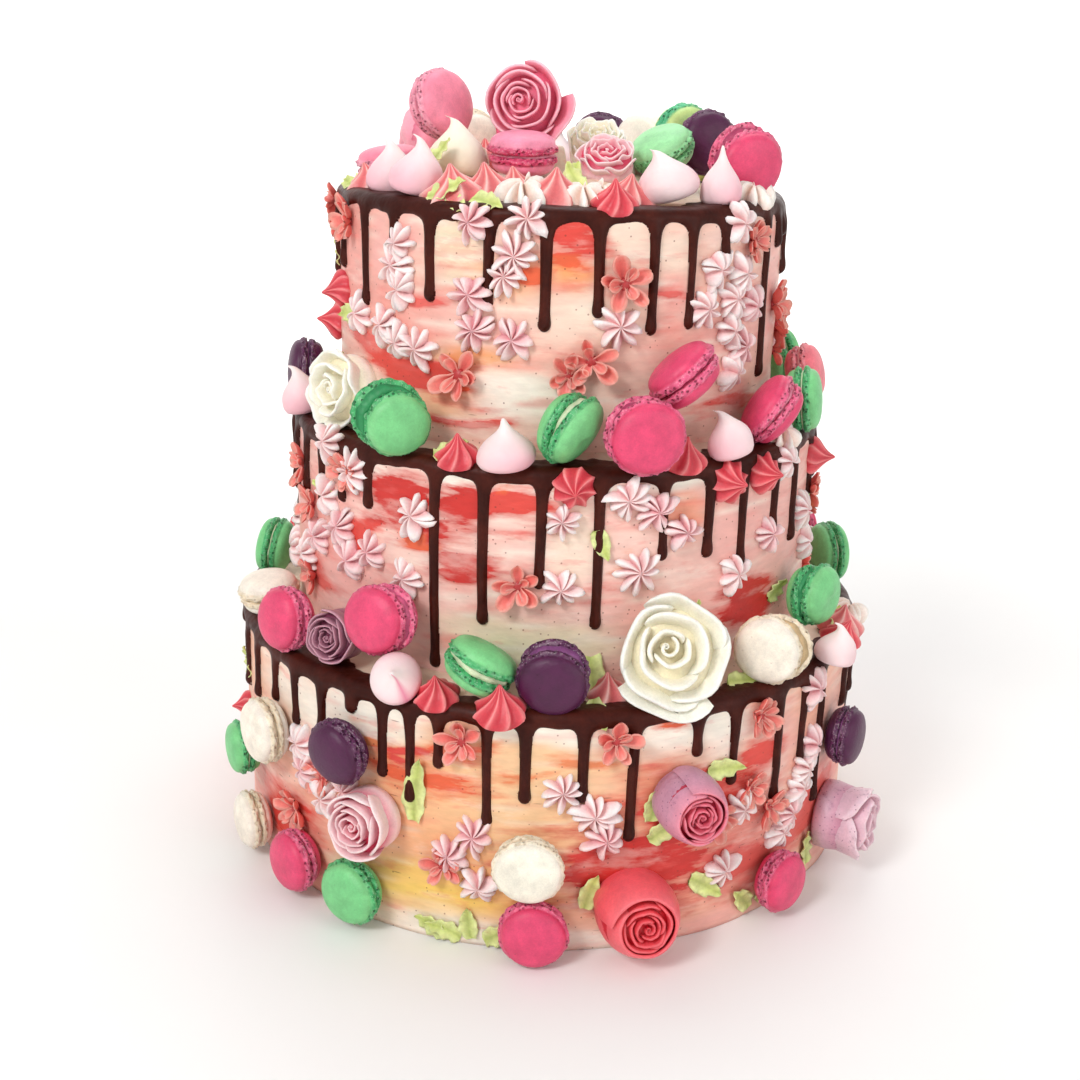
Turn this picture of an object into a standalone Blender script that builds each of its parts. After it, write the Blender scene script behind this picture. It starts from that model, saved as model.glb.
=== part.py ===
"""A three-tier wedding cake: iced drums with chocolate drips and piped stars, dressed with macarons,
buttercream roses and meringue kisses. Metres, +Z up, origin at the middle of the flat base.

Directions round the cake are azimuths in degrees: 0 is the front (-Y), 90 the right side (+X).
"""

import math
import random
from collections import namedtuple

import bmesh
import bpy
from mathutils import Matrix, Vector

MM = 0.001
GAP = 0.3 * MM
CLEARANCE = 0.6 * MM
SHARP_ANGLE = math.radians(50)

# How far a topping on a ledge can stand out past the wall below
LEDGE_REACH = 24.0 * MM
MOST_NUDGES = 40

BOTTOM_RADIUS, BOTTOM_HEIGHT = 178.0 * MM, 131.5 * MM
MIDDLE_RADIUS, MIDDLE_HEIGHT = 146.0 * MM, 112.0 * MM
TOP_RADIUS, TOP_HEIGHT = 120.0 * MM, 118.0 * MM
TIER_SEGMENTS = 36

# The chocolate band round each rim stands proud of the wall
BAND_PROUD = 1.2 * MM
BAND_DEPTH = 6.0 * MM
BAND_ROUNDING = 5.0 * MM

# Drips run down the wall as half-sunk rounded strings with a heavier end
DRIP_RADIUS = 2.7 * MM
DRIP_MOUTH = 1.7
DRIP_BEAD = 1.15
DRIP_TIP = 0.35
DRIP_BEAD_LENGTH = 4.0 * MM
SHORTEST_DRIP = 12.0 * MM
DRIP_ROOM = 5.0 * MM

# A low bed of cream under the toppings on the top
BED_RADIUS, BED_HEIGHT = 72.0 * MM, 9.0 * MM

# Heaps of cream that carry the raised toppings: azimuth and distance from the middle, then the
# reach at foot and crown and the height, in millimetres
HEAP_SEGMENTS = 9
HEAPS = [(-30, 25, 17, 13, 23.0), (-66, 54, 12, 9, 22.0)]

# Sides of a topping seen from the front, and of one in a joined group
Sides = namedtuple("Sides", "macaron rose kiss")
SINGLE_SIDES = Sides(10, 10, 7)
GROUP_SIDES = Sides(7, 8, 6)

# Members of a group lie this share of their touching distance apart
NESTLE = 0.79

Tier = namedtuple("Tier", "name radius foot rim")
BOTTOM = Tier("bottom", BOTTOM_RADIUS, 0.0, BOTTOM_HEIGHT)
MIDDLE = Tier("middle", MIDDLE_RADIUS, BOTTOM_HEIGHT, BOTTOM_HEIGHT + MIDDLE_HEIGHT)
TOP = Tier("top", TOP_RADIUS, MIDDLE.rim, MIDDLE.rim + TOP_HEIGHT)

# Each place: the floor that toppings stand on, how far out that floor reaches, the wall behind it,
# and the height of a bed of cream in its middle
Place = namedtuple("Place", "floor reach wall bed")
ON_TOP = Place(TOP.rim, TOP.radius, 0.0, BED_HEIGHT)
ON_MIDDLE = Place(MIDDLE.rim, MIDDLE.radius, TOP.radius, 0.0)
ON_BOTTOM = Place(BOTTOM.rim, BOTTOM.radius, MIDDLE.radius, 0.0)
ON_SIDE = Place(0.0, 10.0, BOTTOM.radius, 0.0)

COLOURS = {
    "magenta": (0.74, 0.09, 0.20),
    "rose": (0.80, 0.16, 0.27),
    "coral": (0.86, 0.22, 0.16),
    "green": (0.20, 0.62, 0.27),
    "mint": (0.36, 0.72, 0.40),
    "lime": (0.52, 0.66, 0.22),
    "purple": (0.13, 0.03, 0.11),
    "cream": (0.86, 0.76, 0.58),
    "white": (0.88, 0.84, 0.72),
    "pale": (0.86, 0.58, 0.62),
    "red": (0.68, 0.04, 0.07),
    "mauve": (0.42, 0.20, 0.28),
    "icing": (0.84, 0.58, 0.46),
}

# Height is the middle's height over its floor. Facing and lift give the way a macaron's or rose's
# face, or a kiss's tip, points: azimuth and elevation in degrees. Lengths in millimetres.
Topping = namedtuple("Topping", "name kind colour azimuth radius height across depth facing lift")

TOP_TOPPINGS = [
    Topping("top_macaron_rose", "macaron", "rose", -72, 67, 42, 37, 22, 50, 15),
    Topping("top_rose_pink", "rose", "rose", -33, 34, 45, 42, 26, -6, 8),
    Topping("top_macaron_flat", "macaron", "rose", -19, 60, 21, 36, 22, 0, 86),
    Topping("top_kiss_cream", "kiss", "white", -48, 71, 24, 29, 31, 0, 88),
    Topping("top_kiss_pale_1", "kiss", "pale", -56, 103, 14, 25, 28, 20, 78),
    Topping("top_kiss_pale_2", "kiss", "pale", -41, 105, 14, 26, 30, 60, 76),
    Topping("top_macaron_lying", "macaron", "rose", -80, 92, 11, 37, 20, -70, 84),
    Topping("top_macaron_mint", "macaron", "mint", 64, 58, 22, 34, 20, -48, 57),
    Topping("top_macaron_lime", "macaron", "lime", 113, 72, 28, 35, 21, 34, -8),
    Topping("top_macaron_purple", "macaron", "purple", 88, 77, 19, 34, 19, 22, 4),
    Topping("top_macaron_magenta", "macaron", "magenta", 63, 104, 19, 37, 21, 18, -3),
    Topping("top_kiss_pale_3", "kiss", "pale", 31, 96, 14, 29, 27, -60, 70),
    Topping("top_kiss_pale_4", "kiss", "pale", 45, 110, 14, 20, 28, 0, 86),
    Topping("top_rose_pale", "rose", "pale", 26, 52, 15, 32, 14, 0, 74),
    Topping("top_rose_cream", "rose", "white", 140, 30, 20, 34, 20, 0, 70),
]

MIDDLE_TOPPINGS = [
    Topping("middle_macaron_purple", "macaron", "purple", -83, 140, 18, 35, 20, -77, 6),
    Topping("middle_kiss_1", "kiss", "pale", -71, 145, 14, 23, 28, -60, 80),
    Topping("middle_rose_white", "rose", "white", -56, 132, 21, 41, 22, -58, 6),
    Topping("middle_macaron_green_1", "macaron", "green", -31, 151, 19, 37, 21, 16, 2),
    Topping("middle_kiss_2", "kiss", "pale", -9, 143, 12, 28, 24, -20, 84),
    Topping("middle_macaron_green_2", "macaron", "green", 3, 139, 19, 37, 24, 46, -12),
    Topping("middle_macaron_magenta_1", "macaron", "magenta", 16, 153, 19, 37, 21, 9, 3),
    Topping("middle_macaron_magenta_2", "macaron", "magenta", 26, 136, 43, 38, 23, -60, 47),
    Topping("middle_kiss_3", "kiss", "pale", 36, 144, 14, 22, 27, -70, 72),
    Topping("middle_macaron_magenta_3", "macaron", "magenta", 51, 141, 19, 38, 22, -78, 30),
    Topping("middle_macaron_green_3", "macaron", "green", 66, 143, 18, 35, 20, 77, 6),
    Topping("middle_macaron_coral", "macaron", "coral", 84, 139, 23, 32, 20, 70, 16),
]

BOTTOM_TOPPINGS = [
    Topping("bottom_macaron_green_1", "macaron", "green", -91, 164, 18, 34, 20, -96, 8),
    Topping("bottom_macaron_cream_1", "macaron", "cream", -70, 166, 12, 34, 22, -60, 84),
    Topping("bottom_macaron_magenta_1", "macaron", "magenta", -51, 175, 18, 34, 20, -38, 9),
    Topping("bottom_rose_mauve", "rose", "mauve", -40.5, 166, 17, 30, 20, -43, 8),
    Topping("bottom_macaron_magenta_2", "macaron", "magenta", -30, 165, 33, 36, 21, -28, 11),
    Topping("bottom_kiss_1", "kiss", "pale", -24, 181, 13, 25, 20, 4, 34),
    Topping("bottom_macaron_green_2", "macaron", "green", -11, 168, 20, 37, 24, 89, 62),
    Topping("bottom_macaron_purple", "macaron", "purple", 1, 172, 18, 35, 21, 0, 2),
    Topping("bottom_rose_white", "rose", "white", 22, 166, 25, 53, 26, 8, 20),
    Topping("bottom_macaron_cream_2", "macaron", "cream", 41, 173, 18, 35, 22, -20, 14),
    Topping("bottom_macaron_green_3", "macaron", "green", 59, 164, 30, 34, 21, 62, 8),
    Topping("bottom_kiss_2", "kiss", "pale", 56, 184, 12, 22, 23, 90, 80),
]

SIDE_TOPPINGS = [
    Topping("side_macaron_cream_1", "macaron", "cream", -52, 178, 88, 36, 20, -54, 0),
    Topping("side_macaron_green_1", "macaron", "green", -64, 178, 60, 31, 18, -64, 0),
    Topping("side_macaron_cream_2", "macaron", "cream", -60, 178, 21, 33, 18, -60, 0),
    Topping("side_macaron_purple_1", "macaron", "purple", -33, 178, 99, 34, 20, -35, -4),
    Topping("side_macaron_magenta_1", "macaron", "magenta", -44, 178, 22, 34, 20, -46, 0),
    Topping("side_macaron_green_2", "macaron", "green", -31, 178, 21, 35, 20, -34, 2),
    Topping("side_rose_pink", "rose", "pale", -28, 178, 66, 38, 22, -30, 4),
    Topping("side_macaron_white", "macaron", "white", -2, 178, 54, 35, 20, -2, 0),
    Topping("side_macaron_magenta_2", "macaron", "magenta", -1, 178, 18, 35, 21, -1, 2),
    Topping("side_rose_red", "rose", "red", 15, 178, 27, 47, 28, 17, -4),
    Topping("side_rose_mauve", "rose", "mauve", 22, 178, 86, 37, 26, 24, -8),
    Topping("side_macaron_purple_2", "macaron", "purple", 60, 178, 84, 33, 19, 62, 0),
    Topping("side_rose_pale", "rose", "pale", 61, 178, 34, 48, 32, 64, 0),
    Topping("side_macaron_magenta_3", "macaron", "magenta", 42, 178, 21, 33, 19, 44, 0),
]

# Joined groups finish the far side like the near one: each member nestles against the one before.
# Kind, colour, width across and depth of each, in millimetres
MIXED_ROW = [
    ("macaron", "green", 37, 20), ("kiss", "pale", 29, 29), ("macaron", "magenta", 37, 20),
    ("rose", "white", 41, 24), ("macaron", "purple", 36, 20), ("kiss", "pale", 30, 30),
    ("macaron", "magenta", 37, 21), ("macaron", "cream", 36, 20), ("rose", "rose", 42, 26),
    ("macaron", "purple", 35, 20), ("kiss", "pale", 30, 28), ("macaron", "green", 36, 20),
    ("macaron", "magenta", 37, 20), ("rose", "mauve", 38, 24),
]
GROUP_LIFT = {"kiss": 82, "macaron": 5, "rose": 5}
Group = namedtuple("Group", "name place azimuth radius height climb members")
GROUPS = [
    Group("top_group", ON_TOP, 146, 90, 19, 0, MIXED_ROW[3:9]),
    Group("middle_group", ON_MIDDLE, 108, 140, 19, 0, MIXED_ROW[:12]),
    Group("bottom_group", ON_BOTTOM, 96, 168, 19, 0, MIXED_ROW),
    Group("side_group", ON_SIDE, 150, 178, 70, -12, MIXED_ROW[2:5] + MIXED_ROW[6:8]),
]

# Seen drips as azimuth and length; the far side follows the spacing rule in drip_lines
DRIPS = {
    "top": [(-77, 46), (-68, 40), (-54, 55), (-42, 22), (-31, 47), (-16, 47), (-3, 57), (9, 50),
            (22, 59), (32, 57), (42, 26), (61, 89), (69, 24), (78, 40)],
    "middle": [(-72, 44), (-63, 38), (-55, 40), (-47, 33), (-39, 32), (-23, 108), (-13, 81), (-2, 60),
               (9, 81), (22, 47), (32, 49), (41, 58), (51, 45), (60, 56), (72, 70)],
    "bottom": [(-70, 44), (-62, 40), (-54, 32), (-47, 37), (-40, 34), (-33, 16), (-27, 46), (-22, 56),
               (-17, 34), (-9, 62), (-3, 48), (6, 47), (14, 70), (25, 28), (32, 49), (42, 67),
               (49, 54), (55, 84), (67, 42)],
}
FAR_SPACING = {"top": 20.0, "middle": 18.0, "bottom": 16.0}

# Piped stars and flowers: ridges, reach and height in millimetres, and the share of the reach
# that the valleys between ridges have
Star = namedtuple("Star", "ridges reach height valley")
PALE = Star(7, 9.0, 6.0, 0.74)
RED = Star(7, 10.0, 12.0, 0.74)
FLOWER = Star(5, 11.0, 5.5, 0.62)
STAR_SINK = 0.8 * MM
STAR_ROOM = 2.5 * MM
STAR_TILT = 12.0

# Azimuth, height over the base and pattern of each, by tier; height beyond the rim stands on the ledge
STARS = {
    "top": [
        (-63, 347, RED), (-69, 311, FLOWER), (-40, 336, PALE), (-44, 299, PALE), (-9, 352, PALE),
        (-19, 304, PALE), (-23, 280, FLOWER), (14, 308, PALE), (15, 328, FLOWER), (39, 333, PALE),
        (48, 329, PALE), (38, 313, PALE), (49, 311, PALE), (47, 294, PALE), (50, 350, FLOWER),
        (71, 308, FLOWER),
    ],
    "middle": [
        (4, 234, RED), (-27, 215, PALE), (15, 230, PALE), (26, 211, PALE), (17, 193, PALE),
        (49, 199, PALE), (39, 183, PALE), (2, 185, PALE), (-45, 226, FLOWER), (-66, 216, FLOWER),
        (-60, 198, FLOWER), (-46, 198, PALE), (36, 234, RED), (46, 232, RED), (72, 228, RED),
    ],
    "bottom": [
        (-13, 115, FLOWER), (11, 117, FLOWER), (37, 117, FLOWER), (29, 66, FLOWER), (-48, 46, FLOWER),
        (3, 91, PALE), (8, 77, PALE), (-11, 63, PALE), (-15, 43, FLOWER), (31, 35, PALE),
        (35, 70, PALE), (49, 62, PALE), (-41, 66, PALE), (52, 116, PALE), (-75, 70, RED),
    ],
}
# Stars that stand on a ledge, by azimuth and distance from the middle in millimetres
LEDGE_STARS = {
    "top": [(-30, 106, RED), (-13, 98, PALE), (0, 106, RED), (18, 112, RED), (58, 112, PALE)],
    "middle": [(-19, 138, RED), (26, 138, RED)],
    "bottom": [(-18, 166, RED), (-8, 176, RED), (69, 168, RED)],
}
FAR_STARS = {"top": 4, "middle": 3, "bottom": 4}
FAR_START, FAR_SWEEP, FAR_JITTER = 100.0, 165.0, 6.0


def outward(azimuth):
    """The level direction that points away from the middle at an azimuth."""
    turn = math.radians(azimuth)
    return Vector((math.sin(turn), -math.cos(turn), 0.0))


def facing_matrix(facing, lift):
    """Turns local +Z to the given azimuth and elevation."""
    rise = math.radians(lift)
    direction = outward(facing) * math.cos(rise) + Vector((0.0, 0.0, math.sin(rise)))
    return direction.to_track_quat("Z", "Y").to_matrix()


def make_material(name, colour, roughness=0.6):
    """A plain finish, made once for each name."""
    material = bpy.data.materials.get(name)
    if material is None:
        material = bpy.data.materials.new(name)
        material.use_nodes = True
        shader = material.node_tree.nodes["Principled BSDF"]
        shader.inputs["Base Color"].default_value = (*colour, 1.0)
        shader.inputs["Roughness"].default_value = roughness
        shader.inputs["Metallic"].default_value = 0.0
        material.diffuse_color = (*colour, 1.0)
    return material


def mesh_object(name, mesh, collection, colour):
    """An object in a collection with its material."""
    mesh.materials.append(make_material(colour, COLOURS[colour]))
    obj = bpy.data.objects.new(name, mesh)
    collection.objects.link(obj)
    return obj


def turned_object(name, profile, steps, collection, colour):
    """A solid of revolution: a profile of (radius, height) points, top to bottom, with a Screw."""
    mesh = bpy.data.meshes.new(name)
    edges = [(i, i + 1) for i in range(len(profile) - 1)]
    mesh.from_pydata([(radius, 0.0, height) for radius, height in profile], edges, [])
    obj = mesh_object(name, mesh, collection, colour)
    screw = obj.modifiers.new("Turn", "SCREW")
    screw.steps = steps
    screw.render_steps = steps
    screw.use_merge_vertices = True
    screw.merge_threshold = 0.00001
    screw.use_normal_calculate = True
    screw.use_smooth_shade = True
    return obj


def ringed_mesh(name, rings, low_end, high_end):
    """A closed solid through rings of equal point counts, from its low end point to its high one."""
    shape = bmesh.new()
    low = shape.verts.new(low_end)
    loops = [[shape.verts.new(point) for point in ring] for ring in rings]
    high = shape.verts.new(high_end)
    count = len(rings[0])
    for i in range(count):
        j = (i + 1) % count
        shape.faces.new((low, loops[0][j], loops[0][i]))
        for lower, upper in zip(loops, loops[1:]):
            shape.faces.new((lower[i], lower[j], upper[j], upper[i]))
        shape.faces.new((loops[-1][i], loops[-1][j], high))
    bmesh.ops.triangulate(shape, faces=shape.faces[:])
    mesh = bpy.data.meshes.new(name)
    shape.to_mesh(mesh)
    shape.free()
    return mesh


def macaron_profile(topping):
    """Two domed shells with the filling's groove between them, as a turned outline."""
    radius, half = topping.across * MM / 2, topping.depth * MM / 2
    upper = [(0.0, 1.0), (0.62, 0.88), (0.98, 0.40)]
    lower = [(r, -h) for r, h in reversed(upper)]
    return [(r * radius, h * half) for r, h in upper + [(0.89, 0.0)] + lower]


def kiss_rings(topping, sides):
    """A meringue kiss: a round belly drawn up to a tip that leans to one side."""
    radius, half = topping.across * MM / 2, topping.depth * MM / 2
    levels = [(0.66, -1.0), (1.0, -0.42), (0.74, 0.18), (0.27, 0.62)]
    lean = 0.16 * radius
    rings = []
    for share, height in levels:
        reach, shift = share * radius, lean * max(0.0, height)
        rings.append([
            Vector((reach * math.cos(turn) + shift, reach * math.sin(turn), height * half))
            for turn in (2 * math.pi * i / sides for i in range(sides))
        ])
    return rings, Vector((0.0, 0.0, -half)), Vector((1.6 * lean, 0.0, half))


def rose_rings(topping, sides):
    """A rose: petals stand as waved ridges round a bud, with a valley inside each."""
    radius, half = topping.across * MM / 2, topping.depth * MM / 2
    phase = math.radians(7.0 * topping.azimuth)
    # share of the radius, height, petals in the ring, and how deep they wave
    levels = [(0.60, -1.0, 0, 0.0), (0.97, 0.20, 5, 0.05), (0.74, -0.02, 5, 0.04),
              (0.66, 0.74, 4, 0.08), (0.42, 0.34, 4, 0.05), (0.27, 0.96, 3, 0.08)]
    rings = []
    for number, (share, height, petals, wave) in enumerate(levels):
        ring = []
        for i in range(sides):
            turn = 2 * math.pi * i / sides
            swing = math.cos(petals * turn + phase + number)
            reach = radius * share * (1.0 + wave * swing)
            rise = half * (height + wave * swing)
            ring.append(Vector((reach * math.cos(turn), reach * math.sin(turn), rise)))
        rings.append(ring)
    return rings, Vector((0.0, 0.0, -half)), Vector((0.0, 0.0, 0.72 * half))


def turned_points(profile, steps):
    """The points that a Screw makes of a profile."""
    return [
        Vector((radius * math.cos(turn), radius * math.sin(turn), height))
        for radius, height in profile
        for turn in (2 * math.pi * i / steps for i in range(steps))
    ]


def floor_under(point, place):
    """The height that a point has to clear: the floor, or the bed of cream in its middle."""
    return place.floor + (place.bed if math.hypot(point.x, point.y) < BED_RADIUS else 0.0)


def settled(points, spot, place):
    """Moves a spot outward off the wall behind it and up off its floor, until every point is clear."""
    spot = spot.copy()
    away = Vector((spot.x, spot.y, 0.0)).normalized()
    for _ in range(MOST_NUDGES):
        placed = [point + spot for point in points]
        depths = [place.wall + CLEARANCE - math.hypot(p.x, p.y) for p in placed]
        rises = [
            floor_under(p, place) + CLEARANCE - p.z
            for p in placed
            if math.hypot(p.x, p.y) < place.reach + BAND_PROUD + CLEARANCE
        ]
        push, lift = max(depths), max(rises, default=0.0)
        if push <= 0.0 and lift <= 0.0:
            break
        spot += away * max(0.0, push) + Vector((0.0, 0.0, max(0.0, lift)))
    return spot


def add_topping(topping, place, collection, sides=SINGLE_SIDES):
    """Makes one topping, turned to face its way and settled on its floor and wall."""
    turn = facing_matrix(topping.facing, topping.lift)
    if topping.kind == "macaron":
        profile = macaron_profile(topping)
        points = turned_points(profile, sides.macaron)
        obj = turned_object(topping.name, profile, sides.macaron, collection, topping.colour)
    else:
        if topping.kind == "kiss":
            rings, low, high = kiss_rings(topping, sides.kiss)
        else:
            rings, low, high = rose_rings(topping, sides.rose)
        points = [point for ring in rings for point in ring] + [low, high]
        mesh = ringed_mesh(topping.name, rings, low, high)
        obj = mesh_object(topping.name, mesh, collection, topping.colour)
        shade(obj)
    turned = [turn @ point for point in points]
    spot = outward(topping.azimuth) * topping.radius * MM
    spot.z = place.floor + topping.height * MM
    spot = settled(turned, spot, place)
    obj.matrix_world = Matrix.Translation(spot) @ turn.to_4x4()
    return obj, [point + spot for point in turned]


def shade(obj):
    """Smooth faces, with the creases kept sharp."""
    for face in obj.data.polygons:
        face.use_smooth = True
    obj.data.set_sharp_from_angle(angle=SHARP_ANGLE)


def fuse(obj, helpers, solver="EXACT"):
    """Joins every object of the helper collection to obj in one Boolean union, and removes them."""
    union = obj.modifiers.new("Join", "BOOLEAN")
    union.operation = "UNION"
    union.operand_type = "COLLECTION"
    union.collection = helpers
    union.solver = solver
    bpy.context.view_layer.update()
    graph = bpy.context.evaluated_depsgraph_get()
    mesh = bpy.data.meshes.new_from_object(obj.evaluated_get(graph))
    obj.modifiers.clear()
    obj.data = mesh
    shade(obj)
    for helper in list(helpers.objects):
        bpy.data.objects.remove(helper, do_unlink=True)
    bpy.data.collections.remove(helpers)


def group_members(group):
    """The toppings of a group, each set round the cake from the last by their widths."""
    azimuth, height, last = group.azimuth, group.height, None
    members = []
    for number, (kind, colour, across, depth) in enumerate(group.members):
        if last is not None:
            apart = NESTLE * (across + last) / 2
            climb = group.climb if number < len(group.members) / 2 else -group.climb
            level = math.sqrt(apart * apart - climb * climb)
            azimuth += math.degrees(level / group.radius)
            height += climb
        name = f"{group.name}_{number}" if number else group.name
        place = (azimuth, group.radius, height)
        members.append(Topping(name, kind, colour, *place, across, depth, azimuth, GROUP_LIFT[kind]))
        last = across
    return members


def add_group(group, collection):
    """A row of toppings on the far side, joined where they touch into one solid."""
    helpers = bpy.data.collections.new(group.name + "_members")
    collection.children.link(helpers)
    first, *others = group_members(group)
    obj, points = add_topping(first, group.place, collection, GROUP_SIDES)
    for member in others:
        points += add_topping(member, group.place, helpers, GROUP_SIDES)[1]
    fuse(obj, helpers, "MANIFOLD")
    return obj, points


def tier_profile(tier):
    """The drum's outline: a rounded rim with the chocolate band standing proud, then the wall."""
    foot = tier.foot + (GAP if tier.foot > 0.0 else 0.0)
    profile = [
        (tier.radius - BAND_ROUNDING, tier.rim),
        (tier.radius + BAND_PROUD, tier.rim - 0.5 * BAND_DEPTH),
        (tier.radius, tier.rim - BAND_DEPTH),
        (tier.radius, foot),
        (0.0, foot),
    ]
    if tier is TOP:
        crown = tier.rim + BED_HEIGHT
        return [(0.0, crown), (0.8 * BED_RADIUS, crown), (BED_RADIUS, tier.rim)] + profile
    return [(0.0, tier.rim)] + profile


def blocked_top(points, tier, azimuth):
    """The height of the highest topping point near an azimuth's line down a wall, or None."""
    near = [
        p.z for p in points
        if tier.foot < p.z < tier.rim
        and tier.radius < math.hypot(p.x, p.y) < tier.radius + LEDGE_REACH
        and abs(across_wall(p, azimuth, tier.radius)) < DRIP_ROOM
    ]
    return max(near, default=None)


def across_wall(point, azimuth, radius):
    """How far round the wall a point lies from an azimuth."""
    here = math.degrees(math.atan2(point.x, -point.y))
    turn = (here - azimuth + 180.0) % 360.0 - 180.0
    return math.radians(turn) * radius


def drip_lines(tier, rng):
    """Azimuth and length of every drip: the seen ones, then the same spacing on round the far side."""
    lines = list(DRIPS[tier.name])
    start, end = lines[-1][0], lines[0][0] + 360.0
    count = round((end - start) / FAR_SPACING[tier.name])
    tall = (tier.rim - tier.foot) / MM
    for i in range(1, count):
        azimuth = start + (end - start) * i / count + rng.uniform(-1.5, 1.5)
        lines.append((azimuth, tall * rng.choice((0.22, 0.28, 0.36, 0.42, 0.5, 0.62))))
    return lines


def add_drip(tier, azimuth, length, helpers):
    """A string of chocolate down the wall: wide at the band, slim, with a bead at its end."""
    away = outward(azimuth)
    curve = bpy.data.curves.new("drip", "CURVE")
    curve.dimensions = "3D"
    curve.bevel_depth = DRIP_RADIUS
    curve.bevel_resolution = 0
    curve.use_fill_caps = True
    spline = curve.splines.new("POLY")
    top = tier.rim - 0.6 * BAND_DEPTH
    bottom = tier.rim - length
    stops = [(top, DRIP_MOUTH), (bottom + DRIP_BEAD_LENGTH, DRIP_BEAD), (bottom, DRIP_TIP)]
    spline.points.add(len(stops) - 1)
    for point, (height, swell) in zip(spline.points, stops):
        spot = away * tier.radius
        point.co = (spot.x, spot.y, height, 1.0)
        point.radius = swell
    string = bpy.data.objects.new("drip", curve)
    helpers.objects.link(string)
    bpy.context.view_layer.update()
    graph = bpy.context.evaluated_depsgraph_get()
    mesh = bpy.data.meshes.new_from_object(string.evaluated_get(graph))
    welded = bmesh.new()
    welded.from_mesh(mesh)
    bmesh.ops.remove_doubles(welded, verts=welded.verts[:], dist=0.01 * MM)
    bmesh.ops.recalc_face_normals(welded, faces=welded.faces[:])
    welded.to_mesh(mesh)
    welded.free()
    solid = bpy.data.objects.new("drip_solid", mesh)
    solid.matrix_world = string.matrix_world
    helpers.objects.link(solid)
    bpy.data.objects.remove(string, do_unlink=True)


def add_star(spot, turn, star, spin, helpers):
    """A piped star: a cone whose edge runs out and in again at each ridge."""
    shape = bmesh.new()
    bmesh.ops.create_cone(
        shape, cap_ends=True, segments=2 * star.ridges, radius1=star.reach * MM,
        radius2=0.0, depth=star.height * MM,
    )
    bmesh.ops.translate(shape, verts=shape.verts[:], vec=(0.0, 0.0, 0.5 * star.height * MM - STAR_SINK))
    for vert in shape.verts:
        step = round(math.atan2(vert.co.y, vert.co.x) / math.pi * star.ridges)
        if step % 2:
            vert.co.x *= star.valley
            vert.co.y *= star.valley
    mesh = bpy.data.meshes.new("star")
    shape.to_mesh(mesh)
    shape.free()
    obj = bpy.data.objects.new("star", mesh)
    spun = turn.to_4x4() @ Matrix.Rotation(math.radians(spin), 4, "Z")
    obj.matrix_world = Matrix.Translation(spot) @ spun
    helpers.objects.link(obj)


def add_heap(azimuth, distance, foot, crown, height, helpers):
    """A heap of cream on the top, narrower at its crown."""
    shape = bmesh.new()
    bmesh.ops.create_cone(
        shape, cap_ends=True, segments=HEAP_SEGMENTS, radius1=foot * MM,
        radius2=crown * MM, depth=height * MM,
    )
    mesh = bpy.data.meshes.new("heap")
    shape.to_mesh(mesh)
    shape.free()
    obj = bpy.data.objects.new("heap", mesh)
    obj.location = outward(azimuth) * distance * MM + Vector((0.0, 0.0, TOP.rim + 0.5 * height * MM))
    helpers.objects.link(obj)


def clear_of(points, spot, reach):
    """Whether no topping point comes within reach of a spot."""
    return all((point - spot).length > reach for point in points)


def star_spots(tier, rng):
    """Where each star sits and how it is turned: on the wall, on the ledge, and on the far wall."""
    spots = []
    for azimuth, height, star in STARS[tier.name]:
        spots.append((outward(azimuth) * tier.radius + Vector((0, 0, height * MM)), azimuth, 0.0, star))
    for azimuth, radius, star in LEDGE_STARS[tier.name]:
        spot = outward(azimuth) * radius * MM + Vector((0, 0, tier.rim))
        spots.append((spot, azimuth, 90.0 - STAR_TILT, star))
    for i in range(FAR_STARS[tier.name]):
        step = FAR_SWEEP / (FAR_STARS[tier.name] - 1)
        azimuth = FAR_START + step * i + rng.uniform(-FAR_JITTER, FAR_JITTER)
        height = tier.foot + rng.uniform(0.3, 0.8) * (tier.rim - tier.foot)
        star = rng.choice((PALE, PALE, FLOWER))
        spots.append((outward(azimuth) * tier.radius + Vector((0, 0, height)), azimuth, 0.0, star))
    return spots


def build_tier(tier, points, collection, rng):
    """One drum with its band, then its drips and stars joined on, all clear of the toppings."""
    obj = turned_object("tier_" + tier.name, tier_profile(tier), TIER_SEGMENTS, collection, "icing")
    helpers = bpy.data.collections.new(tier.name + "_piping")
    collection.children.link(helpers)
    for azimuth, length in drip_lines(tier, rng):
        length *= MM
        block = blocked_top(points, tier, azimuth)
        if block is not None:
            length = min(length, tier.rim - block - 0.5 * DRIP_ROOM)
        if length > SHORTEST_DRIP:
            add_drip(tier, azimuth, length, helpers)
    for spot, azimuth, lift, star in star_spots(tier, rng):
        if clear_of(points, spot, star.reach * MM + STAR_ROOM):
            add_star(spot, facing_matrix(azimuth, lift), star, rng.uniform(0, 40), helpers)
    if tier is TOP:
        for heap in HEAPS:
            add_heap(*heap, helpers)
    fuse(obj, helpers)
    return obj


def clear_scene():
    """Removes whatever the scene held."""
    for obj in list(bpy.data.objects):
        bpy.data.objects.remove(obj, do_unlink=True)


def main():
    clear_scene()
    rng = random.Random(20)
    cake = bpy.data.collections.new("wedding_cake")
    bpy.context.scene.collection.children.link(cake)
    points = []
    for toppings, place in (
        (TOP_TOPPINGS, ON_TOP), (MIDDLE_TOPPINGS, ON_MIDDLE),
        (BOTTOM_TOPPINGS, ON_BOTTOM), (SIDE_TOPPINGS, ON_SIDE),
    ):
        for topping in toppings:
            points += add_topping(topping, place, cake)[1]
    for group in GROUPS:
        points += add_group(group, cake)[1]
    for tier in (BOTTOM, MIDDLE, TOP):
        build_tier(tier, points, cake, rng)


main()
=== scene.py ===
import math
from collections import namedtuple

import bpy
import numpy as np
from mathutils import Matrix, Vector


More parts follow.
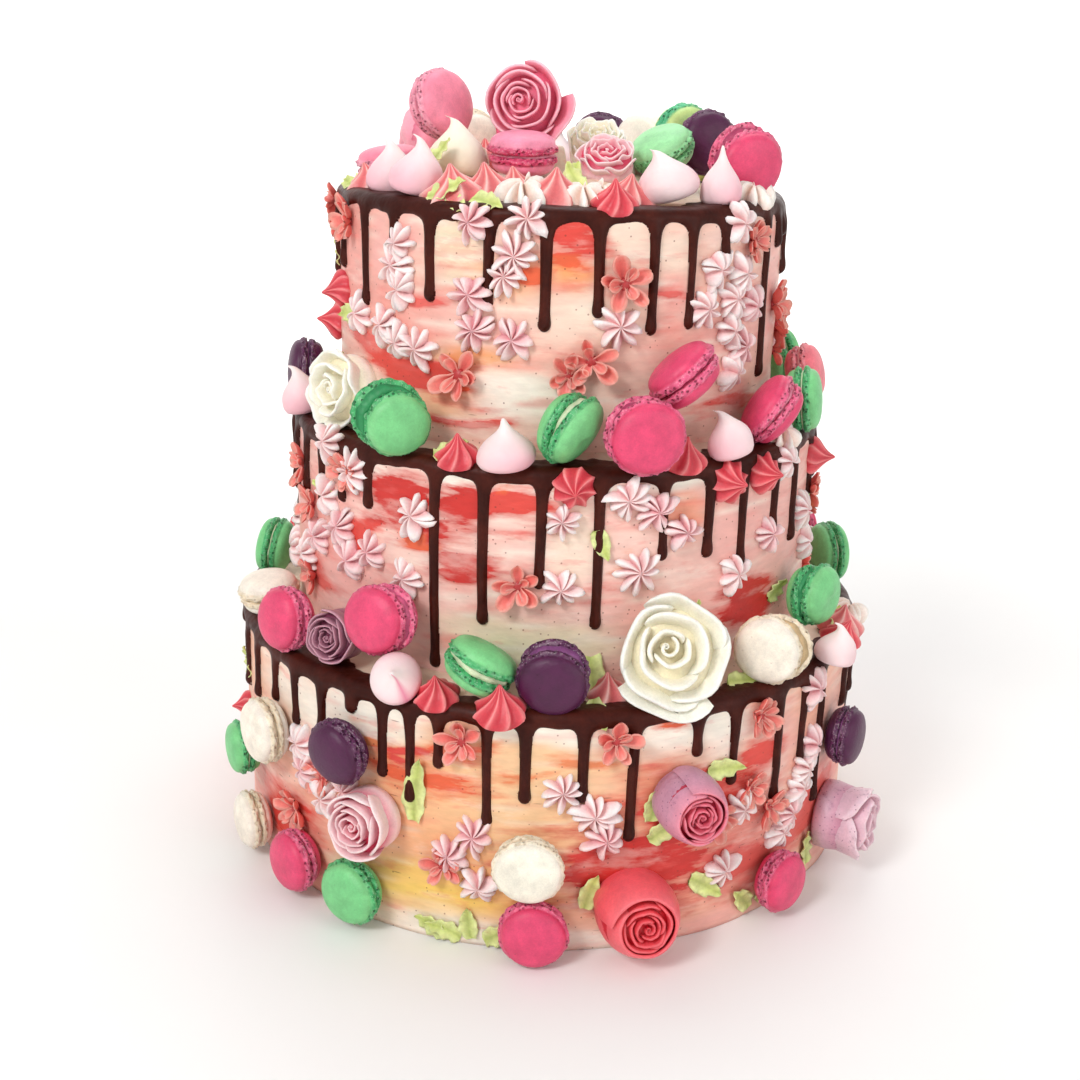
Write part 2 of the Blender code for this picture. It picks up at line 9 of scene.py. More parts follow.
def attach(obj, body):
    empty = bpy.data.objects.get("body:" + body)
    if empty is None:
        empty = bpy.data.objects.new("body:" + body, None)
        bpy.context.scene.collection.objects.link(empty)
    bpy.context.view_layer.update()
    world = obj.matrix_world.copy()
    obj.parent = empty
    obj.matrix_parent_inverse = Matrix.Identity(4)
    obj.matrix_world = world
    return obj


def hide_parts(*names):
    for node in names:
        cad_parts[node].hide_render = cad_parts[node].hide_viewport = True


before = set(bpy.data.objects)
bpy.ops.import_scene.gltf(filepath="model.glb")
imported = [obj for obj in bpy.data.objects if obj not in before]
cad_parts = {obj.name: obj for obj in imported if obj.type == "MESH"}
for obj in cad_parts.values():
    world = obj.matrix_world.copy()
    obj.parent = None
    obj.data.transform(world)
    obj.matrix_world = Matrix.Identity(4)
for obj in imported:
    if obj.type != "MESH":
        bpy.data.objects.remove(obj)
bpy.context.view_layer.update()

# Lengths of the cake are millimetres here, and become metres when a mesh is made. The stage, the
# lights and the camera are in metres. Azimuths are degrees round the cake: 0 faces the camera and
# 90 is to its right.
MM = 0.001
TAU = 2.0 * math.pi
UP = np.array([0.0, 0.0, 1.0])

Tier = namedtuple("Tier", "name radius foot rim inner")
BOTTOM = Tier("bottom", 178.0, 0.0, 131.5, 146.0)
MIDDLE = Tier("middle", 146.0, 131.5, 243.5, 120.0)
TOP = Tier("top", 120.0, 243.5, 361.5, 0.0)
TIERS = (BOTTOM, MIDDLE, TOP)


def linear(text):
    """A colour written as six hexadecimal digits, in linear light."""
    values = np.array([int(text[i:i + 2], 16) / 255.0 for i in (0, 2, 4)])
    return np.where(values <= 0.04045, values / 12.92, ((values + 0.055) / 1.055) ** 2.4)


def blend(a, b, share):
    """Colours between a and b; share may be an array."""
    share = np.asarray(share, float)[..., None]
    return np.asarray(a) * (1.0 - share) + np.asarray(b) * share


def smooth(low, high, value):
    t = np.clip((np.asarray(value, float) - low) / (high - low), 0.0, 1.0)
    return t * t * (3.0 - 2.0 * t)


def ripple(points, size, seed, waves=7):
    """Smooth uneven values, mostly in -1..1, with bumps about size apart."""
    rng = np.random.default_rng(seed)
    total = np.zeros(points.shape[:-1])
    for _ in range(waves):
        direction = unit(rng.normal(size=3))
        wave = TAU / size * rng.uniform(0.6, 1.5)
        total += np.sin(points @ direction * wave + rng.uniform(0.0, TAU))
    return total / math.sqrt(waves)


def unit(vector):
    return np.asarray(vector, float) / np.linalg.norm(vector)


def outward(azimuth):
    turn = math.radians(azimuth)
    return np.array([math.sin(turn), -math.cos(turn), 0.0])


def place(azimuth, distance, height):
    return outward(azimuth) * distance + UP * height


def facing(azimuth, lift):
    return place(azimuth, math.cos(math.radians(lift)), math.sin(math.radians(lift)))


def axes_along(normal, toward=UP):
    """Rows: a local x that leans toward a direction, the y that completes it, and the normal."""
    normal = unit(normal)
    side = np.asarray(toward, float) - np.dot(toward, normal) * normal
    if np.linalg.norm(side) < 1e-3:
        side = np.array([1.0, 0.0, 0.0]) - normal[0] * normal
    side = unit(side)
    return np.array([side, np.cross(normal, side), normal])


def around(count):
    """Turns in radians, evenly all the way round."""
    return np.arange(count) / count * TAU


def turned_ring(radius, height, turns):
    """Points of a ring; radius and height may be one number for each point."""
    radius, height = np.broadcast_to(radius, turns.shape), np.broadcast_to(height, turns.shape)
    return np.stack([radius * np.cos(turns), radius * np.sin(turns), height], -1)


def with_mask(colours, mask):
    mask = np.broadcast_to(np.asarray(mask, float), colours.shape[:-1])
    return np.concatenate([colours, mask[..., None]], -1)


def add_attribute(mesh, name, values):
    attribute = mesh.color_attributes.new(name, "FLOAT_COLOR", "POINT")
    attribute.data.foreach_set("color", values.astype(np.float32).ravel())


class Shape:
    """Gathers sheets of points, each point with a colour and a mask, and makes one mesh of them."""

    def __init__(self):
        self.points, self.looks, self.faces, self.count = [], [], [], 0

    def add_points(self, points, looks):
        self.points.append(np.reshape(points, (-1, 3)))
        self.looks.append(np.reshape(looks, (-1, 4)))
        first = self.count
        self.count += len(self.points[-1])
        return first

    def sheet(self, points, colours, pose=None, mask=0.0, wrap=True, low=None, high=None, slot=0):
        """Rows run up and columns run round anticlockwise, which turns the faces outward. A low and
        a high point close the ends. All are in the axes of the pose, which is axes and a centre."""
        axes, centre = pose or (np.eye(3), 0.0)
        rows, columns = points.shape[:2]
        looks = with_mask(np.broadcast_to(colours, points.shape), mask)
        first = self.add_points(points @ axes + centre, looks)
        index = np.arange(rows * columns).reshape(rows, columns) + first
        if wrap:
            index = np.hstack([index, index[:, :1]])
        quads = np.stack([index[:-1, :-1], index[:-1, 1:], index[1:, 1:], index[1:, :-1]], -1)
        self.faces.append((quads.reshape(-1, 4), slot))
        for pole, ring, edge in ((low, index[0, ::-1], looks[0]), (high, index[-1], looks[-1])):
            if pole is not None:
                tip = self.add_points(np.asarray(pole) @ axes + centre, edge.mean(0))
                tips = np.full(len(ring) - 1, tip)
                self.faces.append((np.stack([ring[:-1], ring[1:], tips], -1), slot))

    def make(self, name, materials):
        mesh = bpy.data.meshes.new(name)
        points = np.concatenate(self.points) * MM
        corners = np.concatenate([faces.ravel() for faces, _ in self.faces])
        sizes = np.concatenate([np.full(len(faces), faces.shape[1]) for faces, _ in self.faces])
        slots = np.concatenate([np.full(len(faces), slot) for faces, slot in self.faces])
        mesh.vertices.add(len(points))
        mesh.vertices.foreach_set("co", points.astype(np.float32).ravel())
        mesh.loops.add(len(corners))
        mesh.loops.foreach_set("vertex_index", corners.astype(np.int32))
        mesh.polygons.add(len(sizes))
        for key, values in (("loop_start", np.cumsum(sizes) - sizes), ("loop_total", sizes),
                            ("material_index", slots), ("use_smooth", sizes > 0)):
            mesh.polygons.foreach_set(key, values.astype(bool if key == "use_smooth" else np.int32))
        mesh.update(calc_edges=True)
        mesh.validate()
        add_attribute(mesh, "look", np.concatenate(self.looks))
        for material in materials:
            mesh.materials.append(material)
        piece = bpy.data.objects.new(name, mesh)
        bpy.context.scene.collection.objects.link(piece)
        return piece


def dress(piece, slot, *nodes):
    """The piece rides on the cake and stands for its nodes; its slot is not used."""
    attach(piece, "root")
    if nodes:
        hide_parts(*nodes)


# Materials


class Finish:
    """A material under construction: a Principled shader and short ways to add nodes."""

    def __init__(self, name, roughness, specular, scatter=0.0, reach=0.002):
        self.material = bpy.data.materials.new(name)
        self.material.use_nodes = True
        self.tree = self.material.node_tree
        self.shader = self.tree.nodes["Principled BSDF"]
        for key, value in (("Roughness", roughness), ("Specular IOR Level", specular),
                           ("Subsurface Weight", scatter), ("Subsurface Scale", reach),
                           ("Subsurface Radius", (1.0, 0.5, 0.35))):
            self.shader.inputs[key].default_value = value
        self.place = self.node("ShaderNodeTexCoord").outputs["Object"]

    def node(self, kind, **inputs):
        made = self.tree.nodes.new(kind)
        for key, value in inputs.items():
            self.plug(made.inputs[key.replace("_", " ")], value)
        return made

    def plug(self, socket, value):
        if isinstance(value, bpy.types.NodeSocket):
            self.tree.links.new(value, socket)
        elif hasattr(socket.default_value, "__len__") and not isinstance(value, (int, float)):
            value = tuple(value)
            socket.default_value = value + (1.0,) * (len(socket.default_value) - len(value))
        else:
            socket.default_value = value

    def attribute(self, name):
        made = self.node("ShaderNodeAttribute")
        made.attribute_name = name
        return made.outputs["Color"], made.outputs["Alpha"]

    def stretched(self, along, up):
        """Object coordinates with their own scale up the cake."""
        return self.node("ShaderNodeMapping", Vector=self.place, Scale=(along, along, up)).outputs[0]

    def noise(self, scale, detail=3.0, roughness=0.55, where=None):
        made = self.node("ShaderNodeTexNoise", Vector=where or self.place, Scale=scale,
                         Detail=detail, Roughness=roughness)
        return made.outputs["Fac"]

    def dots(self, scale, core, edge, rare=None, where=None):
        """1 in round dots and 0 between them. Rare, two chances, leaves the dots below them out."""
        made = self.node("ShaderNodeTexVoronoi", Vector=where or self.place, Scale=scale)
        dot = self.ramp(made.outputs["Distance"], core, edge, 1.0, 0.0)
        if rare is None:
            return dot
        chance = self.node("ShaderNodeSeparateColor", Color=made.outputs["Color"]).outputs[0]
        return self.times(dot, self.ramp(chance, *rare))

    def math(self, operation, a, b=0.0, c=0.0):
        made = self.tree.nodes.new("ShaderNodeMath")
        made.operation = operation
        for socket, value in zip(made.inputs, (a, b, c)):
            self.plug(socket, value)
        return made.outputs[0]

    def times(self, a, b):
        return self.math("MULTIPLY", a, b)

    def minus(self, a, b):
        return self.math("SUBTRACT", a, b)

    def ramp(self, value, low, high, start=0.0, end=1.0):
        made = self.node("ShaderNodeMapRange", Value=value, From_Min=low, From_Max=high,
                         To_Min=start, To_Max=end)
        made.interpolation_type = "SMOOTHSTEP"
        return made.outputs[0]

    def mix(self, share, a, b, how="MIX"):
        made = self.tree.nodes.new("ShaderNodeMix")
        made.data_type = "RGBA"
        made.blend_type = how
        for number, value in ((0, share), (6, a), (7, b)):
            self.plug(made.inputs[number], value)
        return made.outputs[2]

    def tinted(self, colour, low, high, *noise):
        """The colour made darker and lighter, between two factors, by a noise."""
        shade = self.ramp(self.noise(*noise), 0.25, 0.75, low, high)
        grey = self.node("ShaderNodeCombineColor", Red=shade, Green=shade, Blue=shade).outputs[0]
        return self.mix(1.0, colour, grey, "MULTIPLY")

    def done(self, colour, *bumps):
        """Plugs in the colour and bumps of a height, a strength and a distance in metres."""
        self.plug(self.shader.inputs["Base Color"], colour)
        under = None
        for height, strength, distance in bumps:
            made = self.node("ShaderNodeBump", Height=height, Strength=strength, Distance=distance)
            if under is not None:
                self.tree.links.new(under, made.inputs["Normal"])
            under = made.outputs[0]
        self.tree.links.new(under, self.shader.inputs["Normal"])
        return self.material


def buttercream_finish():
    make = Finish("buttercream", 0.40, 0.46, 0.12, 0.003)
    colour, speckled = make.attribute("look")
    colour = make.tinted(colour, 0.90, 1.06, 120.0, 4.0)
    colour = make.tinted(colour, 0.94, 1.04, 900.0)
    pit = make.dots(520.0, 0.10, 0.30, (0.58, 0.64))
    smear = make.times(make.ramp(make.noise(150.0, 5.0, 0.7), 0.55, 0.72), 0.55)
    pit = make.times(make.math("MAXIMUM", pit, smear), speckled)
    colour = make.mix(make.times(pit, 0.75), colour, linear("8A4A6E"))
    return make.done(colour, (make.noise(330.0, 4.0), 0.35, 0.0009), (make.noise(1500.0), 0.22, 0.0003))


def macaron_finish():
    make = Finish("macaron_shell", 0.44, 0.42, 0.08, 0.002)
    colour, foot = make.attribute("look")
    colour = make.tinted(colour, 0.86, 1.08, 110.0, 4.0, 0.6)
    colour = make.tinted(colour, 0.95, 1.10, 190.0, 5.0, 0.7)
    colour = make.tinted(colour, 0.92, 1.05, 1300.0, 4.0, 0.7)
    # painted shade in the holes of the foot, and painted highlights on its blisters
    hole = make.times(make.dots(500.0, 0.12, 0.42, (0.30, 0.40)), foot)
    painted_shade = make.mix(1.0, colour, (0.46, 0.31, 0.35), "MULTIPLY")
    colour = make.mix(make.times(hole, 0.80), colour, painted_shade)
    lit = make.times(make.dots(900.0, 0.10, 0.40), make.minus(foot, hole))
    colour = make.mix(make.times(lit, 0.22), colour, (1.0, 0.95, 0.92))
    # a few pocks on the domes, darkened with painted shade
    pock = make.times(make.dots(330.0, 0.05, 0.17), make.ramp(make.noise(160.0, 2.0), 0.58, 0.66))
    colour = make.mix(make.times(pock, 0.45), colour, painted_shade)
    return make.done(colour, (make.noise(800.0, 5.0, 0.7), 0.34, 0.0005), (make.noise(120.0), 0.30, 0.0016),
                     (make.minus(1.0, hole), 0.9, 0.0018), (make.minus(1.0, pock), 0.5, 0.0006))


def meringue_finish():
    make = Finish("meringue", 0.52, 0.40, 0.10, 0.003)
    colour, _ = make.attribute("look")
    colour = make.tinted(colour, 0.94, 1.04, 70.0)
    return make.done(colour, (make.noise(160.0), 0.25, 0.0015), (make.noise(1900.0), 0.12, 0.0002))


def ganache_finish():
    make = Finish("ganache", 0.40, 0.14)
    colour = make.mix(make.ramp(make.noise(60.0), 0.35, 0.68), linear("36110A"), linear("481A11"))
    colour = make.tinted(colour, 0.86, 1.12, 700.0, 4.0)
    rough = make.ramp(make.noise(140.0), 0.3, 0.7, 0.34, 0.50)
    make.plug(make.shader.inputs["Roughness"], rough)
    return make.done(colour, (make.noise(150.0, 2.0), 0.25, 0.0018), (make.noise(1100.0), 0.10, 0.0003))


def leaf_finish():
    make = Finish("piped_leaf", 0.48, 0.40, 0.10, 0.002)
    colour, vein = make.attribute("look")
    colour = make.mix(make.times(vein, 0.5), colour, linear("93A944"))
    colour = make.tinted(colour, 0.82, 1.14, 260.0, 4.0)
    return make.done(colour, (make.noise(500.0), 0.4, 0.0007), (make.noise(1600.0, 2.0), 0.2, 0.0003))


def icing_finish():
    """Spread buttercream: its brushed colours are the mesh's own, drawn out here into streaks."""
    make = Finish("spread_icing", 0.42, 0.36, 0.10, 0.003)
    base, cover = make.attribute("look")
    stroke, _ = make.attribute("stroke")
    drift = make.stretched(1.0, 3.2)
    streaks = make.noise(62.0, 5.0, 0.62, make.stretched(1.0, 5.5))
    # the edge of a stroke: its cover runs 0 to 1 with the edge at the middle
    torn = make.math("MULTIPLY_ADD", make.minus(make.noise(24.0, 5.0, 0.55, drift), 0.5), 1.35, cover)
    torn = make.math("MULTIPLY_ADD", make.minus(streaks, 0.5), 0.60, torn)
    colour = make.mix(make.times(make.ramp(torn, 0.16, 0.52), 0.62), base, stroke)
    colour = make.mix(make.ramp(torn, 0.47, 0.58), colour, stroke)
    # pale and rosy drifts where the spreader passed
    pale = make.ramp(make.noise(19.0, 6.0, 0.62, drift), 0.54, 0.70)
    colour = make.mix(make.times(pale, 0.30), colour, linear("FBF1E4"))
    rosy = make.ramp(make.noise(23.0, 6.0, 0.62, make.stretched(1.3, 5.2)), 0.55, 0.68)
    colour = make.mix(make.times(rosy, 0.32), colour, linear("E2665E"))
    colour = make.tinted(colour, 0.92, 1.05, 90.0, 4.0, 0.55, drift)
    # crumbs of chocolate and short dark scratches
    drawn = make.stretched(0.4, 4.0)
    for scale, core, edge, rarity, where in (
            (330.0, 0.10, 0.20, 0.70, None), (150.0, 0.05, 0.10, 0.80, None),
            (70.0, 0.045, 0.10, 0.80, drawn)):
        mark = make.dots(scale, core, edge, (rarity, rarity + 0.02), where)
        colour = make.mix(make.times(mark, 0.62), colour, linear("7A3428"))
    return make.done(colour, (make.noise(30.0, 4.0, 0.55, drift), 0.5, 0.0018),
                     (make.ramp(torn, 0.42, 0.62), 0.35, 0.0006), (make.noise(700.0, 4.0), 0.16, 0.0004))


def floor_finish():
    make = Finish("pale_table", 0.6, 0.3)
    return make.done(make.tinted(linear("F2F1EF"), 0.99, 1.01, 4.0), (make.noise(400.0, 2.0), 0.05, 0.0002))


BUTTERCREAM, MACARON, MERINGUE = buttercream_finish(), macaron_finish(), meringue_finish()
GANACHE, LEAF, ICING = ganache_finish(), leaf_finish(), icing_finish()
FOODS = [MACARON, MERINGUE, BUTTERCREAM]

# Toppings

# Shell, lit bubbles of the foot, painted shade in its hollows, and the filling
MACARON_LOOKS = {
    "magenta": ("DB4069", "EA658C", "9A1A40", "F2A3B8"), "pink": ("F398B2", "DC4872", "9A1A44", "EE9AB0"),
    "rose": ("EE879E", "F19CB0", "A62C55", "F6C2CC"), "mint": ("9FE0A2", "86D892", "1F8A4A", "D8F2CE"),
    "lime": ("CBDD8A", "4FC489", "1B7A46", "A8E0A8"), "green": ("7CCB86", "48B26C", "0E6A38", "DCE6C0"),
    "purple": ("4A123C", "5E2150", "260A20", "84467A"), "cream": ("F5EBDC", "EEDFC4", "CBAA7E", "F3E2C2"),
    "white": ("F5F0E0", "F0E2C8", "C6A878", "F2E2C0"), "coral": ("EA7480", "F08892", "B0404C", "F8BCB8"),
}
KISS_LOOKS = {"pale": ("F7E8E6", "EFB6C0"), "white": ("F8F2E2", "EBDCBC")}
# Petals' outside, inside and lit edge, then the heart
ROSE_LOOKS = {
    "rose": ("F79BAE", "F48CA4", "FCC4CE", "EA6E8C"), "white": ("FDFAEC", "FCF7E4", "FFFEF6", "F6EBCB"),
    "mauve": ("A97382", "96586E", "CB9AA8", "84405A"), "red": ("F05A64", "E22C3C", "F5737A", "CB1426"),
    "pale": ("F7D3D6", "EFAEB9", "FCE6E4", "D63C5E"), "lilac": ("DBB2C2", "D69CB0", "F6D9DF", "C97C94"),
    "cup": ("C491A8", "DC4A62", "EC8C9C", "BC2844"),
}
# Share of the radius, share of the half depth, and how much of it is foot
SHELL = [
    (0.85, 0.045, 0.7), (0.94, 0.06, 1.0), (0.995, 0.10, 1.0), (1.012, 0.16, 1.0), (1.018, 0.23, 1.0),
    (1.010, 0.30, 1.0), (0.985, 0.36, 0.8), (0.945, 0.405, 0.3), (0.938, 0.45, 0.0), (0.930, 0.53, 0.0),
    (0.898, 0.63, 0.0), (0.843, 0.725, 0.0), (0.755, 0.81, 0.0), (0.635, 0.885, 0.0), (0.475, 0.942, 0.0),
    (0.28, 0.98, 0.0), (0.10, 0.997, 0.0),
]


def add_macaron(shape, centre, normal, across, depth, look, seed, segments=84, slip=(0.0, 0.0),
                gape=0.0, gape_at=0.0, tip=(0.0, 0.0, 0.0), front=1.0, cream=None):
    """Two domed shells on frilled feet with the filling between them. The outer shell may have
    slipped aside, or gape open at one side."""
    rng = np.random.default_rng(seed)
    radius, half = across / 2.0, depth / 2.0
    shell, foot, hollow_shade, filling = (linear(c) for c in MACARON_LOOKS[look])
    filling = filling if cream is None else linear(cream)
    turns = around(segments)
    skew = rng.uniform(0.0, TAU, 8)
    slip = np.asarray(slip) + rng.uniform(-0.5, 0.5, 2)
    wedge = gape * (0.5 + 0.5 * np.cos(turns - gape_at))
    pitted = 0.35 if look in ("cream", "white") else 1.0
    rows, colours, masks = [], [], []

    def add_ring(ring, side, rise, colour, mask):
        ring[:, :2] += side * slip / 2.0
        if side > 0:
            ring[:, 2] += wedge * (1.0 - 0.35 * rise) - 0.5 * gape
        rows.append(ring)
        colours.append(np.broadcast_to(colour, ring.shape))
        masks.append(np.full(segments, mask))

    def add_shell_ring(share, height, footing, side):
        oval = 1.0 + 0.016 * np.sin(2.0 * turns + skew[0]) + 0.009 * np.sin(3.0 * turns + skew[1] + side)
        rough = rng.normal(size=segments)
        rough = 0.65 * rough + 0.35 * np.roll(rough, 1)
        broad = sum(np.sin(bends * turns + turn) for bends, turn in
                    ((9, skew[2] + side), (14, skew[3]), (23, skew[6])))
        frill = footing * (0.55 * np.clip(rough, -1.8, 1.2) + 0.09 * broad)
        squash = 0.96 if side < 0 else front
        ring = turned_ring(share * radius * oval * squash + frill, side * height * half, turns)
        ring[:, 2] += side * 0.30 * footing * np.roll(frill, 3)
        # The foot's colour: painted shade where the frill dips in, painted highlights where it bulges out
        lit = blend(foot, hollow_shade, np.clip(0.12 - 0.34 * rough, 0.0, 0.70))
        lit = blend(lit, (1.0, 0.9, 0.86), np.clip(0.14 * rough - 0.06, 0.0, 0.22))
        sheen = 0.5 + 0.5 * np.sin(turns + skew[4])
        dome = blend(shell, foot, 0.30 * sheen * (1.0 - height) + 0.12 * (height > 0.8))
        add_ring(ring, side, height, blend(dome, lit, footing), footing * pitted)

    for part in reversed(SHELL):
        add_shell_ring(*part, -1.0)
    swell = 0.87 + 0.025 * np.sin(5 * turns + skew[5]) + 0.015 * np.sin(11 * turns + skew[7])
    for side in (-1.0, 1.0):
        add_ring(turned_ring(swell * radius, side * 0.03 * half, turns), side, 0.0, filling, 0.0)
    for part in SHELL:
        add_shell_ring(*part, 1.0)
    pole = 0.01 * half * UP
    shape.sheet(np.array(rows), np.array(colours), (axes_along(normal + np.asarray(tip)), centre),
                np.array(masks), low=rows[0].mean(0) - pole, high=rows[-1].mean(0) + pole)


# Share of the radius and share of the half height, from the foot to the drawn tip
KISS = [(0.68, -1.0), (0.89, -0.94), (0.98, -0.80), (1.0, -0.62), (0.975, -0.43), (0.90, -0.25),
        (0.785, -0.08), (0.645, 0.07), (0.51, 0.20), (0.39, 0.32), (0.295, 0.43), (0.225, 0.53),
        (0.175, 0.62), (0.14, 0.70), (0.115, 0.78), (0.095, 0.85), (0.075, 0.91), (0.045, 0.96)]


def add_kiss(shape, centre, normal, across, depth, look, seed, lean=(-1.0, 0.0, 0.0), segments=36,
             curl=1.0, streak=0.0):
    """A smooth meringue drop drawn up to a tip that curls over."""
    rng = np.random.default_rng(seed)
    radius, half = across / 2.0, depth / 2.0
    crown, side = (linear(c) for c in KISS_LOOKS[look])
    turns = around(segments)
    phase = rng.uniform(0.0, TAU, 3)
    line = streak * np.exp(-(np.sin(turns / 2.0 - 1.05) / 0.10) ** 2)
    rows, colours = [], []
    for share, height in KISS:
        swirl = 0.035 * np.sin(turns + 4.0 * height + phase[0]) + 0.022 * np.sin(2 * turns + phase[1])
        ring = turned_ring(radius * share * (1.0 + swirl), height * half, turns)
        ring[:, 2] += 0.03 * radius * np.sin(turns + phase[1])
        ring[:, 0] += curl * radius * (0.12 * max(0.0, height) - 0.06 * smooth(-0.6, 0.3, height)
                                       + 0.95 * max(0.0, height - 0.40) ** 1.8)
        ring[:, 2] -= curl * radius * 1.1 * max(0.0, height - 0.66) ** 1.5
        rows.append(ring)
        blush = smooth(0.75, -0.7, height) * (0.66 + 0.34 * np.sin(turns + phase[2]))
        colours.append(blend(blend(crown, side, blush), linear("E68CA4"), line))
    shape.sheet(np.array(rows), np.array(colours), (axes_along(normal, lean), centre), slot=1,
                low=-half * UP, high=rows[-1].mean(0) + np.array([0.35, 0.0, 0.35]))


# Turned place and sweep in radians; reach and the share of it at the foot; foot, lip, how far the lip
# leans out and the leading end is tucked in, and thickness, in millimetres; how much its lip waves,
# and how much its ends fall
Petal = namedtuple("Petal", "phase sweep reach foot low top flare tuck thick wave fall")


def add_petal(shape, pose, petal, colours, seed, lean, speck, columns, rows=6):
    """One curved petal: a sheet round the axis, thick at its foot, with a rounded lip."""
    rng = np.random.default_rng(seed)
    outer, inner, lip = colours
    # s runs along the petal, from one end to the other
    s = np.linspace(-1.0, 1.0, columns)
    turns = petal.phase + s * petal.sweep / 2.0
    ends = np.abs(s) ** 4

    def wave(bends):
        return np.sin(petal.sweep * bends * s + rng.uniform(0.0, TAU))

    up_wave = wave(2.1) + 0.6 * wave(4.3)
    crest = petal.low + (petal.top - petal.low) * (1.0 - petal.fall * ends + 0.5 * petal.wave * up_wave)
    edge = petal.tuck * s + petal.wave * petal.reach * 0.4 * wave(2.6)

    def ring(level, sign):
        full = math.sin(math.pi / 2.0 * min(1.0, 0.3 + 1.1 * level))
        reach = petal.reach * (petal.foot + (1.0 - petal.foot) * full) + petal.flare * level ** 2.5
        reach = reach + edge * (0.45 + 0.55 * level)
        thin = petal.thick * (1.0 - 0.30 * level) * np.sqrt(np.clip(1.0 - np.abs(s) ** 12, 0.0, 1.0))
        points = turned_ring(reach + sign * thin / 2.0, petal.low + (crest - petal.low) * level, turns)
        points[:, :2] += np.asarray(lean) * smooth(-0.2, 1.0, level)
        return points

    levels = np.linspace(0.0, 1.0, rows)
    rim = ring(1.0, 0.0)
    rim[:, 2] += 0.42 * petal.thick * np.sqrt(np.clip(1.0 - ends ** 2, 0.0, 1.0))
    points = [ring(level, 1.0) for level in levels] + [rim] + [ring(level, -1.0) for level in levels[::-1]]
    # Each side lightens toward the lip: a painted highlight along the petal's edge
    shade = [blend(outer, lip, 0.06 + 0.55 * v ** 5) for v in levels] + [lip]
    shade += [blend(inner, lip, 0.55 * v ** 6) for v in levels[::-1]]
    shade = np.array(shade)[:, None] * (1.0 + 0.02 * rng.normal())
    shape.sheet(np.array(points), shade, pose, speck, wrap=False, slot=2)


# From the heart outward: petals in the ring, share of the radius, share of the height of the lip,
# outward lean, sweep of a petal in degrees, thickness, wave of the lip, fall of the ends
ROSE_FORMS = {
    # wound ribbons inside a drum's smooth wall
    "drum": [(1, 0.11, 0.84, 0.00, 330, 1.6, 0.03, 0.05), (2, 0.23, 0.90, 0.01, 225, 1.7, 0.05, 0.14),
             (2, 0.37, 0.93, 0.01, 215, 1.9, 0.05, 0.14), (3, 0.53, 0.94, 0.01, 160, 2.0, 0.04, 0.16),
             (2, 0.91, 1.00, -0.24, 225, 2.4, 0.012, 0.03)],
    # the same with a loose, frilled petal round it
    "wound": [(1, 0.11, 0.86, 0.00, 330, 1.6, 0.04, 0.05), (2, 0.26, 0.94, 0.02, 225, 1.7, 0.06, 0.14),
              (2, 0.42, 0.98, 0.04, 215, 1.8, 0.06, 0.16), (3, 0.60, 0.95, 0.07, 160, 2.0, 0.05, 0.20),
              (3, 0.77, 0.76, 0.13, 140, 2.2, 0.05, 0.28)],
    # a few broad smooth petals round a small twist
    "broad": [(1, 0.12, 0.80, 0.02, 300, 1.8, 0.04, 0.05), (2, 0.28, 0.92, 0.06, 200, 2.2, 0.08, 0.24),
              (2, 0.50, 0.98, 0.14, 190, 2.4, 0.10, 0.32), (4, 0.72, 0.60, 0.24, 125, 2.4, 0.16, 0.34)],
    # loose ruffles
    "frill": [(2, 0.22, 0.86, 0.04, 190, 1.8, 0.12, 0.12), (3, 0.42, 0.92, 0.10, 145, 2.0, 0.16, 0.18),
              (4, 0.60, 0.78, 0.16, 112, 2.1, 0.18, 0.22), (5, 0.74, 0.42, 0.20, 92, 2.2, 0.20, 0.26)],
}
# How high the core fills a rose, and how wide its petals' feet are, as shares of its half height and
# of a petal's reach
CORE_FILL = {"drum": 0.38, "wound": 0.25, "broad": 0.05, "frill": 0.38}
PETAL_FOOT = {"drum": 0.82, "wound": 0.66, "broad": 0.30, "frill": 0.35}
CORE_POINTS, TWIST_POINTS = 28, 22


